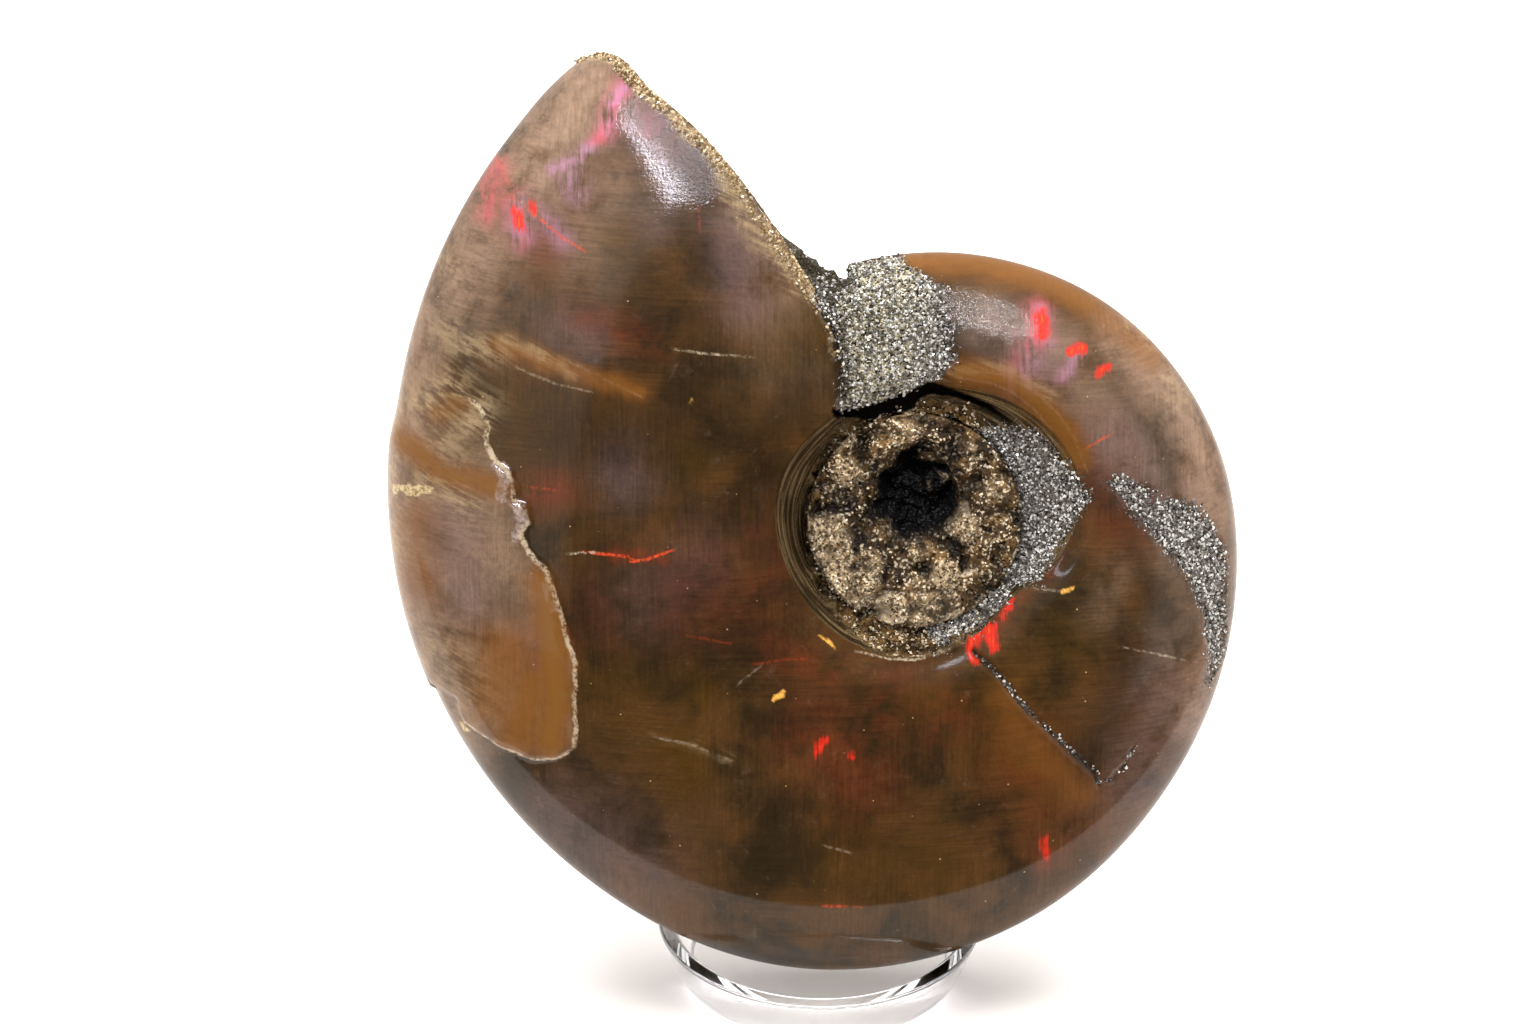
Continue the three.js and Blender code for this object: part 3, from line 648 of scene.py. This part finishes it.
place = add("TexCoord", {}, "Object")
growth_lines = {"X": times(mark("turn"), 1.5), "Y": times(mark("out"), 2.2)}
fine_lines = grain(add("CombineXYZ", growth_lines), 1.0, 5.0, 0.6)
level_brush = grain(add("Mapping", {"Vector": place, "Scale": (150, 600, 3000)}), 1.0, 4.0, 0.65)
upright_brush = grain(add("Mapping", {"Vector": place, "Scale": (3000, 400, 150)}), 1.0, 4.0, 0.65)
slant = {"Vector": place, "Rotation": (0, 0.36, 0), "Scale": (1 / 110, 1 / 500, 1 / 1900)}
slant_brush = grain(add("Mapping", slant, vector_type="TEXTURE"), 1.0, 4.0, 0.6)
clouds = grain(place, 95.0, 6.0, 0.62, 0.25)
patches = grain(place, 260.0, 6.0, 0.66, 0.2)
specks = grain(place, 2300.0, 3.0, 0.7)
wander = times(maths("SUBTRACT", grain(place, 900.0, 5.0, 0.7), 0.5), 2.0)


def ragged(name, amount):
    """A mark or distance of the shell, made uneven by the fine noise."""
    return plus(mark(name), times(wander, amount))


# Shell: dark brown, clouded with red-brown, with a paler outer layer left along its left side.
colour = blend(between(clouds, 0.38, 0.62), (0.022, 0.013, 0.0038), (0.07, 0.031, 0.0075))
colour = blend(times(between(patches, 0.48, 0.7), 0.5), colour, (0.048, 0.026, 0.0065))
flecks = times(between(grain(place, 520.0, 6.0, 0.7, 0.4), 0.58, 0.74), 0.4)
colour = blend(flecks, colour, (0.12, 0.08, 0.055))
on_layer = between(ragged("layer", 0.35), -0.05, 0.1)
on_layer = times(on_layer, mark("layer_fade"))
layer_colour = blend(between(patches, 0.35, 0.65), (0.1, 0.06, 0.034), (0.185, 0.115, 0.068))
colour = blend(on_layer, colour, layer_colour)


def cloud(name, strength, tint, low=0.22, high=0.55, broken_by=patches):
    """Tints the colour so far where the mark is, broken up by the patches or by streaks."""
    broken = times(mark(name), between(broken_by, low, high))
    return blend(times(broken, strength), colour, tint)


# Pale haze, partly painted reflection on the edges and the tip.
colour = cloud("haze", 0.95, (0.255, 0.163, 0.11), 0.16, 0.6)
colour = cloud("plum", 0.8, (0.135, 0.082, 0.078))
colour = cloud("olive", 0.9, (0.052, 0.024, 0.001))
# Darker strokes, partly painted shade by the notch.
colour = cloud("dark", 0.8, (0.014, 0.008, 0.0035), 0.05, 0.4)
colour = cloud("glow", 0.8, (0.13, 0.024, 0.008), 0.28, 0.6)
streaks = plus(times(patches, 0.4), times(slant_brush, 0.6))
colour = cloud("amber", 1.0, (0.138, 0.031, 0.001), 0.24, 0.48, streaks)
colour = cloud("cream", 0.85, (0.33, 0.235, 0.125), 0.42, 0.58, streaks)

# Polishing marks run level and upright across it, fainter growth lines from the umbilicus outwards.
which_way = between(grain(place, 60.0, 2.0, 0.5), 0.44, 0.56)
brush = add("Mix", {0: which_way, 2: level_brush, 3: upright_brush}, 0, data_type="FLOAT")
brush = plus(times(brush, 0.55), times(fine_lines, 0.15))
brush = plus(brush, times(specks, 0.3))
brush = plus(0.6, times(between(brush, 0.3, 0.7, False), 0.8))
colour = blend(1.0, colour, brush, "MULTIPLY")
from_dot, dot_tone = cell_pattern(900.0)
on_dot = times(between(from_dot, 0.12, 0.04), between(dot_tone, 0.88, 0.98))
colour = blend(times(on_dot, 0.8), colour, (0.5, 0.33, 0.13))

# The ledge of the outer layer: two pale bulges and a thin bright line, pale broken shell that is partly a
# painted highlight on the step's edge, with a chip at its left.
bulge = between(ragged("bulge", 0.3), 0.4, 0.75)
bulge_colour = blend(between(specks, 0.35, 0.65), (0.15, 0.105, 0.09), (0.33, 0.245, 0.205))
colour = blend(bulge, colour, bulge_colour)
chip = between(ragged("chip", 0.3), 0.45, 0.7)
chip_colour = blend(between(specks, 0.35, 0.6), (0.2, 0.13, 0.05), (0.52, 0.41, 0.23))
colour = blend(chip, colour, chip_colour)
from_edge = maths("ABSOLUTE", ragged("layer", 0.35))
ledge = times(between(from_edge, 0.34, 0.12), between(mark("ledge"), 0.2, 0.6))
ledge = times(ledge, between(plus(specks, patches), 0.8, 1.15))
colour = blend(times(ledge, 0.9), colour, (0.47, 0.37, 0.25))

# Iridescence: rose clouds, and small bright red and orange flashes that fade into the brown.
rose = times(mark("rose"), between(plus(upright_brush, patches), 0.75, 1.1))
rose_colour = blend(between(clouds, 0.4, 0.6), (0.58, 0.085, 0.115), (0.4, 0.19, 0.3))
colour = blend(rose, colour, rose_colour)
flash = ragged("flash", 0.45)
flash = plus(flash, times(maths("SUBTRACT", upright_brush, 0.5), 2.2))
flash_colour = blend(between(flash, 0.85, 1.5), (0.56, 0.018, 0.008), (0.72, 0.14, 0.012))
on_flash = times(between(flash, 0.15, 0.95), between(mark("flash"), 0.04, 0.35))
colour = blend(times(on_flash, 0.95), colour, flash_colour)


def thin_line(name, half_width, tint):
    """Draws the thin lines of one kind, broken up along their length."""
    aside = plus(maths("ABSOLUTE", mark(name + "_side")), times(wander, 0.25))
    shown = times(between(mark(name), 0.25, 0.85), between(specks, 0.34, 0.62))
    shown = times(shown, between(patches, 0.34, 0.5))
    return blend(times(between(aside, half_width, 0.05), shown), colour, tint)


spark = between(ragged("spark", 0.7), 0.5, 1.0)
colour = blend(spark, colour, (0.75, 0.38, 0.07))
colour = thin_line("red_line", 0.26, (0.6, 0.06, 0.016))
# Pale scratches, and the painted highlight on the umbilicus's lower rim.
colour = thin_line("scratch", 0.24, (0.38, 0.3, 0.205))

# The wall of the umbilicus carries fine pale lines round it, and lower down it is crusted with crystals.
down_wall = {"X": times(mark("turn"), 0.03), "Y": times(mark("down"), 15.0)}
wall_lines = grain(add("CombineXYZ", down_wall), 1.0, 4.0, 0.65, 0.4)
on_wall = between(mark("down"), 0.0, 0.06)
wall_colour = blend(between(wall_lines, 0.42, 0.7), (0.026, 0.016, 0.006), (0.19, 0.125, 0.06))
colour = blend(on_wall, colour, wall_colour)
colour = cloud("amber", 0.8, (0.175, 0.08, 0.016), 0.12, 0.45)


def crystal_colour(bright):
    """Brown crystals in grains of about a third of a millimetre, paler where bright is near 1."""
    tone = cell_pattern(3300.0)[1]
    uneven = grain(place, 330.0, 6.0, 0.65, 0.2)
    ground = blend(between(uneven, 0.4, 0.62), (0.036, 0.02, 0.007), (0.215, 0.122, 0.044))
    ground = blend(bright, ground, (0.76, 0.56, 0.33))
    # Painted glints: the grains where sparkle runs highest are painted pale.
    sparkle = plus(tone, times(plus(bright, uneven), 0.35))
    ground = blend(between(sparkle, 1.00, 1.14), ground, (0.82, 0.69, 0.5))
    return blend(between(sparkle, 0.36, 0.2), ground, (0.014, 0.009, 0.004))


on_druse = between(ragged("druse", 1.0), -0.2, 0.5)
colour = blend(on_druse, colour, crystal_colour(between(patches, 0.56, 0.74)))

# Rock: grey and sparkling, in grains of about a quarter of a millimetre, each with its own tone.
from_cell, cell_tone = cell_pattern(4000.0)
rock_tone = plus(times(cell_tone, 0.7), times(specks, 0.45))
warm = between(mark("turn"), 24.0, 12.0)
rock_dark = blend(warm, (0.034, 0.029, 0.026), (0.078, 0.064, 0.038))
rock_pale = blend(warm, (0.27, 0.24, 0.218), (0.6, 0.52, 0.365))
rock_colour = blend(between(rock_tone, 0.28, 0.85), rock_dark, rock_pale)
# Painted glints: the palest grains are painted near white as sparkle.
rock_colour = blend(between(cell_tone, 0.82, 0.92), rock_colour, (0.88, 0.87, 0.85))
rock_colour = blend(between(cell_tone, 0.16, 0.06), rock_colour, (0.026, 0.021, 0.017))
crumbled = times(between(mark("crumbly"), 0.05, 0.4), 0.8)
rock_colour = blend(crumbled, rock_colour, (0.05, 0.039, 0.019))
# The darker strokes darken the rock too: painted shade by the notch.
rock_colour = blend(times(mark("dark"), 0.9), rock_colour, (0.022, 0.017, 0.008))
rock_edge = times(maths("SUBTRACT", specks, 0.5), 2.5)
rock_edge = plus(times(wander, 0.6), rock_edge)
rock_edge = times(rock_edge, maths("SUBTRACT", 2.4, times(warm, 1.4)))
on_rock = between(plus(mark("rock"), rock_edge), -0.15, 0.15)
on_crack = between(ragged("crack", 0.8), 0.1, 0.25)
dark_in_crack = times(on_crack, between(patches, 0.58, 0.44))
rock_colour = blend(dark_in_crack, rock_colour, (0.04, 0.03, 0.02))
on_rock = maths("MAXIMUM", on_rock, on_crack)
on_rock = maths("MAXIMUM", on_rock, between(mark("crumbly"), 0.02, 0.12))
colour = blend(on_rock, colour, rock_colour)

# The lip is edged with golden grains, in a band that thins out and breaks off towards the umbilicus.
ragged_lip = times(plus(wander, times(patches, 2.0)), 1.3)
ragged_lip = plus(mark("lip"), ragged_lip)
on_lip = times(between(ragged_lip, 3.5, 1.4), between(mark("lip"), -0.2, 0.1))
golden = ragged("gold", 0.5)
on_lip = times(on_lip, between(golden, 0.15, 0.6))
lip_colour = blend(between(rock_tone, 0.3, 0.85), (0.27, 0.17, 0.08), (0.72, 0.56, 0.34))
colour = blend(on_lip, colour, lip_colour)
# Painted shadow: the groove under the overhanging block is painted near black.
gap_shadow = between(ragged("gap", 0.2), -0.05, 0.15)
colour = blend(gap_shadow, colour, (0.006, 0.004, 0.003))
wire(colour, "Base Color")

# Polished shell shines under a clear coat; rock, crystals and the golden lip are dull between their glints.
dull = on_rock
for other in (times(on_lip, 0.8), gap_shadow, on_druse, times(on_wall, 0.7)):
    dull = maths("MAXIMUM", dull, other)
polish = plus(0.36, times(patches, 0.2))
wire(plus(polish, times(dull, 0.1)), "Roughness")
off_shoulder = maths("MAXIMUM", between(mark("out"), 0.06, 0.26), 0.1)
polished = times(maths("SUBTRACT", 1.0, dull), off_shoulder)
wire(times(polished, 0.45), "Coat Weight")
shader.inputs["Coat Roughness"].default_value = 0.06
shader.inputs["Coat IOR"].default_value = 1.5
shader.inputs["Specular IOR Level"].default_value = 0.03

marks = plus(times(brush, 0.03), times(patches, 0.03))
grains = times(times(from_cell, -0.7), dull)
relief = plus(marks, grains)
relief = plus(relief, times(times(wall_lines, on_wall), 0.4))
bump = add("Bump", {"Height": relief, "Distance": 0.5 * MM, "Strength": 1.0})
wire(bump, "Normal")
pits = times(specks, plus(0.03, times(mark("pitted"), 1.2)))
pits = plus(pits, times(brush, 0.04))
coat_bump = add("Bump", {"Height": pits, "Distance": 0.09 * MM, "Strength": 1.0})
wire(coat_bump, "Coat Normal")
shell_mesh.materials.append(shell_look)


# The crust of small brown crystals that lines the umbilicus: it grew on its floor and round the dark hole in
# its middle, about 25 mm across and 2 mm thick, with paler lumps. It is one piece, just clear of the shell.
CRUST_COLUMNS = 300
CRUST_TOP_ROWS = 130
CRUST_UNDER_ROWS = 22
CRUST_GAP = 0.45
CRUST_EDGE = 0.98
LARGE_CRYSTAL = 1.15
SMALL_CRYSTAL = 0.6
CRUST_TOP = 2.0
LEAST_THICKNESS = 0.25
UNDERSIDE = -3.0  # the depth noted for the crust's underside
CRUST_PROFILE = [
    (0, -2.8), (0.22, -2.7), (0.31, -1.4), (0.4, 0.2), (0.48, 1.2), (0.58, 1.7), (0.7, 1.9), (0.82, 1.9),
    (0.94, 1.9), (CRUST_EDGE, 1.4),
]
CRUST_UNDER = [(0, -3.7), (0.31, -3.7), (0.44, 0.05), (CRUST_EDGE, 0.05)]
# Lumps as they appear from the sight point: place, radius and height in mm, and how pale each one is.
CRUST_LUMPS = [
    (-2.7, -10.6, 2.2, 1.3, 1.3), (3.5, -6.4, 2.0, 1.1, 0.8), (5.6, -0.8, 2.2, 1.5, 0.5),
    (2.6, 4.4, 1.7, 2.6, 0.3), (-11.6, -1.6, 2.0, 0.7, 0.9), (-5.4, -5.4, 2.2, 0.8, 0.3),
    (0.8, -12.2, 1.8, 0.6, 0.5), (-8.0, 5.6, 2.0, 0.5, 0.4), (0.6, -3.6, 1.6, 0.9, 0.2),
    (9.4, 3.4, 1.6, 0.5, 0.2), (-9.4, -6.8, 1.8, 0.6, 0.7), (-1.4, 10.6, 2.4, 0.5, 0.2),
    (-7.5, -7.5, 4.0, 0.5, 0.55), (1.5, -10.0, 4.0, 0.3, 0.3), (-10.5, -2.5, 3.5, 0.4, 0.65),
]

crust_mesh, column, row = sphere_mesh("umbilicus_druse", CRUST_COLUMNS, CRUST_TOP_ROWS + CRUST_UNDER_ROWS)
on_top = row <= CRUST_TOP_ROWS
share = np.where(on_top, row / CRUST_TOP_ROWS, (CRUST_TOP_ROWS + CRUST_UNDER_ROWS - row) / CRUST_UNDER_ROWS)
share = share * CRUST_EDGE
direction = -2 * np.pi * column / CRUST_COLUMNS
points = basin(direction, share, FRONT_FLOOR, FRONT_FLOOR)
level = FRONT_FLOOR + CRUST_GAP
flat = points * (1, 1, 0)
lumps = roughness_at(flat, 2.8, 5)
from_large, from_small = (
    np.array([noise.voronoi(Vector(p) / size)[0][0] for p in flat.tolist()])
    for size in (LARGE_CRYSTAL, SMALL_CRYSTAL)
)
fade = smooth(share, CRUST_EDGE, CRUST_EDGE - 0.04)
ragged_share = share * (1 + 0.22 * roughness_at(flat + 31, 2.6, 3) * smooth(share, 0.9, 0.5))
height = np.interp(ragged_share, *np.array(CRUST_PROFILE).T)
x, y = as_seen(points + (0, 0, CRUST_TOP))
pale = np.zeros(len(points))
for lump_x, lump_y, radius, lump_height, paleness in CRUST_LUMPS:
    mound = np.maximum(1 - ((x - lump_x) ** 2 + (y - lump_y) ** 2) / radius**2, 0) ** 0.7
    height += lump_height * mound
    pale = np.maximum(pale, paleness * mound)
height += fade * (1.9 * lumps + 0.6 * (0.45 - from_large) + 0.3 * (0.45 - from_small))
under = np.interp(share, *np.array(CRUST_UNDER).T)
points[:, 2] = level + np.where(on_top, np.maximum(height, under + LEAST_THICKNESS * fade + 0.02), under)
set_points(crust_mesh, points)
set_attribute(crust_mesh, "depth", np.where(on_top, height, UNDERSIDE))
set_attribute(crust_mesh, "pale", pale)

crust = finished_piece("umbilicus_druse", crust_mesh)
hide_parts("umbilicus_crystals")

crust_look, tree, shader, add = new_material("brown crystal crust")
place = add("TexCoord", {}, "Object")
from_cell = cell_pattern(2500.0)[0]
patches = grain(place, 260.0, 6.0, 0.62, 0.2)
pale = times(mark("pale"), between(patches, 0.25, 0.5))
bright = maths("MAXIMUM", between(patches, 0.58, 0.72), pale)
colour = crystal_colour(bright)
# Painted shade and light: the crust is darker where it lies low and paler on its high lumps, and painted
# near black in the hole and on its underside.
painted_depth_shade = plus(0.35, times(between(mark("depth"), 0.8, 2.8), 0.85))
colour = blend(1.0, colour, painted_depth_shade, "MULTIPLY")
colour = blend(between(mark("depth"), 0.5, -0.9), colour, (0.002, 0.0013, 0.0005))
wire(colour, "Base Color")
wire(plus(0.35, times(from_cell, 0.3)), "Roughness")
shader.inputs["Specular IOR Level"].default_value = 0.15
bump = add("Bump", {"Height": times(from_cell, -1.0), "Distance": 0.3 * MM, "Strength": 0.9})
wire(bump, "Normal")
crust_mesh.materials.append(crust_look)


# Single crystals that sparkle on the grey rock, on the crack, along the golden lip and on the crust.
# Each is a small calcite block about a fifth of a millimetre across, grown fast to what it stands on.
GRAIN_SIZE = (0.12, 0.27)
GRAIN_SLANT = (0.28, 0.22)
GRAIN_SCATTER = 0.12
LIP_GRAIN_BAND = (-0.1, 1.1)  # mm inwards from the lip
GRAIN_SEED = 41
rng = np.random.default_rng(GRAIN_SEED)
block = bmesh.new()
bmesh.ops.create_cube(block, size=1)
for vertex in block.verts:
    vertex.co.x += GRAIN_SLANT[0] * vertex.co.z
    vertex.co.y += GRAIN_SLANT[1] * vertex.co.z
grain_corners = np.array([vertex.co for vertex in block.verts])
grain_faces = np.array([[vertex.index for vertex in face.verts] for face in block.faces])
block.free()


def random_turns(count):
    """Rotation matrices in all directions."""
    turns = np.linalg.qr(rng.normal(size=(count, 3, 3)))[0]
    turns[:, :, 0] *= np.sign(np.linalg.det(turns))[:, None]
    return turns


def grains_on(mesh, weights, count):
    """Places of grains on a mesh's faces, drawn by weight."""
    chosen = rng.choice(len(weights), count, p=weights / weights.sum())
    centres = read_all(mesh.polygons, "center", 3)[chosen]
    return centres + rng.normal(scale=GRAIN_SCATTER * MM, size=(count, 3))


def face_values(mesh, name):
    """A vertex attribute read at the lowest-numbered corner of every face."""
    first_loop = read_all(mesh.polygons, "loop_start", kind=int)
    corner = np.minimum.reduceat(read_all(mesh.loops, "vertex_index", kind=int), first_loop)
    return read_all(mesh.attributes[name].data, "value")[corner]


area = read_all(shell_mesh.polygons, "area")
on_rock_faces = np.clip(face_values(shell_mesh, "rock") + 0.1, 0, 0.3) / 0.3
on_crack_faces = 0.8 * np.clip(face_values(shell_mesh, "crack") - 0.1, 0, 0.2) / 0.2
from_lip = face_values(shell_mesh, "lip")
in_lip_band = (from_lip > LIP_GRAIN_BAND[0]) & (from_lip < LIP_GRAIN_BAND[1])
lip_weights = area * face_values(shell_mesh, "gold") * in_lip_band
rough_faces = 0.06 * np.clip(face_values(shell_mesh, "crumbly"), 0, 1)
rock_weights = area * np.maximum.reduce([on_rock_faces, on_crack_faces, rough_faces])
# Fewer grains where the darker strokes lie, partly painted shade.
rock_weights *= 1 - 0.95 * np.clip(face_values(shell_mesh, "dark"), 0, 1)
druse_weights = area * np.clip(face_values(shell_mesh, "druse"), 0, 1)
crust_weights = np.clip(face_values(crust_mesh, "depth") - 1.3, 0, 1.2) ** 2
crust_weights *= read_all(crust_mesh.polygons, "area")
crust_weights *= 0.25 + face_values(crust_mesh, "pale")

for name, mesh, weights, count, tint in (
    ("rock_grains", shell_mesh, rock_weights, 9000, ((0.1, 0.09, 0.075), (0.8, 0.78, 0.72))),
    ("lip_grains", shell_mesh, lip_weights, 800, ((0.2, 0.12, 0.045), (0.74, 0.6, 0.38))),
    ("wall_grains", shell_mesh, druse_weights, 1500, ((0.06, 0.036, 0.015), (0.78, 0.64, 0.44))),
    ("crust_grains", crust_mesh, crust_weights, 2200, ((0.08, 0.048, 0.02), (0.86, 0.7, 0.47))),
):
    centres = grains_on(mesh, weights, count)
    sizes = rng.uniform(*GRAIN_SIZE, size=(count, 1, 1)) * MM
    corners = centres[:, None, :] + (grain_corners * sizes) @ random_turns(count)
    faces = grain_faces + len(grain_corners) * np.arange(count)[:, None, None]
    grain_mesh = bpy.data.meshes.new(name)
    grain_mesh.from_pydata(corners.reshape(-1, 3).tolist(), [], faces.reshape(-1, 4).tolist())
    tones = np.repeat(rng.random(count), len(grain_corners))
    set_attribute(grain_mesh, "tone", tones)
    grains = finished_piece(name, grain_mesh, Matrix(), shade_smooth=False)
    look, tree, shader, add = new_material(name.replace("_", " "))
    tone = mark("tone")
    colour = blend(between(tone, 0.35, 1.0), tint[0], tint[1])
    fine = grain(add("TexCoord", {}, "Object"), 4200.0, 2.0, 0.5)
    colour = blend(times(between(fine, 0.45, 0.7), 0.5), colour, tint[0])
    wire(colour, "Base Color")
    wire(plus(0.12, times(tone, 0.25)), "Roughness")
    shader.inputs["Specular IOR Level"].default_value = 0.6
    grain_mesh.materials.append(look)


# The display ring: one clear turned acrylic band, 40 mm across at its top, 35 mm at its foot, 6.6 mm high,
# with a wall of 2.1 mm and polished, slightly rounded edges. The fossil's lower edge rests in it.
RING_TOP_RADIUS = 19.9
RING_BASE_RADIUS = 17.4
RING_WALL = 2.1
RING_HEIGHT = 6.6
RING_STEPS = 128
EDGE_ROUND = 0.45
SHARP_EDGE = 0.8  # radians between the faces at a rim

band = bmesh.new()
outline = [
    (RING_BASE_RADIUS - RING_WALL, 0), (RING_BASE_RADIUS, 0),
    (RING_TOP_RADIUS, RING_HEIGHT), (RING_TOP_RADIUS - RING_WALL, RING_HEIGHT),
]
corners = [band.verts.new((radius, 0, height)) for radius, height in outline]
sides = [band.edges.new((corners[i], corners[(i + 1) % 4])) for i in range(4)]
bmesh.ops.spin(
    band, geom=corners + sides, cent=(0, 0, 0), axis=(0, 0, 1), angle=2 * math.pi, steps=RING_STEPS,
    use_merge=True,
)
bmesh.ops.remove_doubles(band, verts=band.verts, dist=0.001)
bmesh.ops.recalc_face_normals(band, faces=band.faces)
rims = [edge for edge in band.edges if edge.calc_face_angle(0) > SHARP_EDGE]
bmesh.ops.bevel(
    band, geom=rims, offset=EDGE_ROUND, offset_type="OFFSET", segments=4, profile=0.5, affect="EDGES",
    material=-1,
)
ring_mesh = bpy.data.meshes.new("clear_ring")
band.to_mesh(ring_mesh)
band.free()
ring_place = Matrix.Translation((ring_middle.x, ring_middle.y, 0)) @ Matrix.Scale(MM, 4)
ring = finished_piece("clear_ring", ring_mesh, ring_place)
ring.visible_shadow = False
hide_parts("display_ring")

ring_look, tree, shader, add = new_material("clear acrylic")
place = add("TexCoord", {}, "Object")
haze = grain(add("Mapping", {"Vector": place, "Scale": (200, 200, 1500)}), 1.0, 3.0, 0.5)
wire(blend(haze, (0.97, 0.985, 0.985), (1, 1, 1)), "Base Color")
wire(times(haze, 0.06), "Roughness")
shader.inputs["Transmission Weight"].default_value = 1
shader.inputs["IOR"].default_value = 1.49
ring_mesh.materials.append(ring_look)


# The studio, which is no part of the object: a pale floor, a white surround with a dark opening in front
# that the polish reflects, soft lights, and the camera.
CAMERA_ELEVATION = math.radians(26)
CAMERA_DISTANCE = 340.0
PIXELS_PER_MM = 8.5
AIM = (-17.3, 0.9)
FRAME_WIDTH = 1536
SENSOR = 36.0

aim = to_row_frame @ Vector((*AIM, 0))
camera_data = bpy.data.cameras.new("camera")
camera_data.sensor_width = SENSOR
camera_data.lens = PIXELS_PER_MM * CAMERA_DISTANCE / FRAME_WIDTH * SENSOR
camera_data.clip_start = 0.01
camera = linked_object("camera", camera_data)
backwards = Vector((0, -math.cos(CAMERA_ELEVATION), math.sin(CAMERA_ELEVATION)))
camera.location = aim + backwards * CAMERA_DISTANCE * MM
camera.rotation_euler = (math.pi / 2 - CAMERA_ELEVATION, 0, 0)
bpy.context.scene.camera = camera


def stage_sheet(name, low, high, tone):
    """A flat rectangle for the studio between two opposite corners, in metres."""
    mesh = bpy.data.meshes.new(name)
    side_corner = (high[0], low[1], low[2])
    far_corner = (low[0], high[1], high[2])
    mesh.from_pydata([low, side_corner, high, far_corner], [], [(0, 1, 2, 3)])
    sheet = linked_object(name, mesh)
    paper, tree, shader, add = new_material(name)
    shader.inputs["Base Color"].default_value = (*tone, 1)
    shader.inputs["Roughness"].default_value = 0.7
    shader.inputs["Specular IOR Level"].default_value = 0
    mesh.materials.append(paper)
    return sheet


stage_sheet("floor", (-3, -3, 0), (3, 3, 0), (0.96, 0.915, 0.88))
DARK_ROOM = (0.03, 0.028, 0.027)
opening = stage_sheet("dark_opening", (-0.33, -0.62, 0.001), (0.48, -0.62, 0.52), DARK_ROOM)
table = stage_sheet("dark_table", (-0.33, -0.62, 0.001), (0.48, -0.044, 0.001), DARK_ROOM)
for card in (opening, table):
    card.visible_camera = False
    card.visible_diffuse = False
    card.visible_shadow = False
    card.visible_transmission = False


def light_panel(name, place, aim_at, along, size, watts, colour=(1, 1, 1)):
    """A rectangular light at a place that shines at a point, with its long side along a direction."""
    data = bpy.data.lights.new(name, "AREA")
    data.shape = "RECTANGLE"
    data.size, data.size_y = size
    data.energy = watts
    data.color = colour
    panel = linked_object(name, data)
    panel.location = place
    back = (Vector(place) - Vector(aim_at)).normalized()
    upwards = back.cross(Vector(along)).normalized()
    panel.rotation_euler = Matrix((upwards.cross(back), upwards, back)).transposed().to_euler()
    return panel


roof = light_panel("roof", (0, 0.1, 0.55), (0, 0, 0.05), (1, 0, 0), (0.7, 0.5), 7.2)
roof.visible_glossy = False
COOL_WHITE = (0.9, 0.94, 1.0)
LILAC_WHITE = (0.92, 0.88, 1.0)
strip_along = (0.37, -0.86, -0.37)
strip = light_panel(
    "strip", (-0.208, -0.23, 0.42), (-0.03, 0, 0.09), strip_along, (0.23, 0.035), 2.6, LILAC_WHITE,
)
lamp = light_panel("lamp", (0.06, -0.24, 0.46), (0.02, 0, 0.08), (1, 0, 0), (0.09, 0.045), 2.4, COOL_WHITE)
for panel in (strip, lamp):
    panel.visible_diffuse = False
world = bpy.data.worlds.new("world")
world.use_nodes = True
background = world.node_tree.nodes["Background"]
background.inputs["Color"].default_value = (1, 0.985, 0.97, 1)
background.inputs["Strength"].default_value = 1.0
bpy.context.scene.world = world
bpy.context.scene.view_settings.view_transform = "Standard"
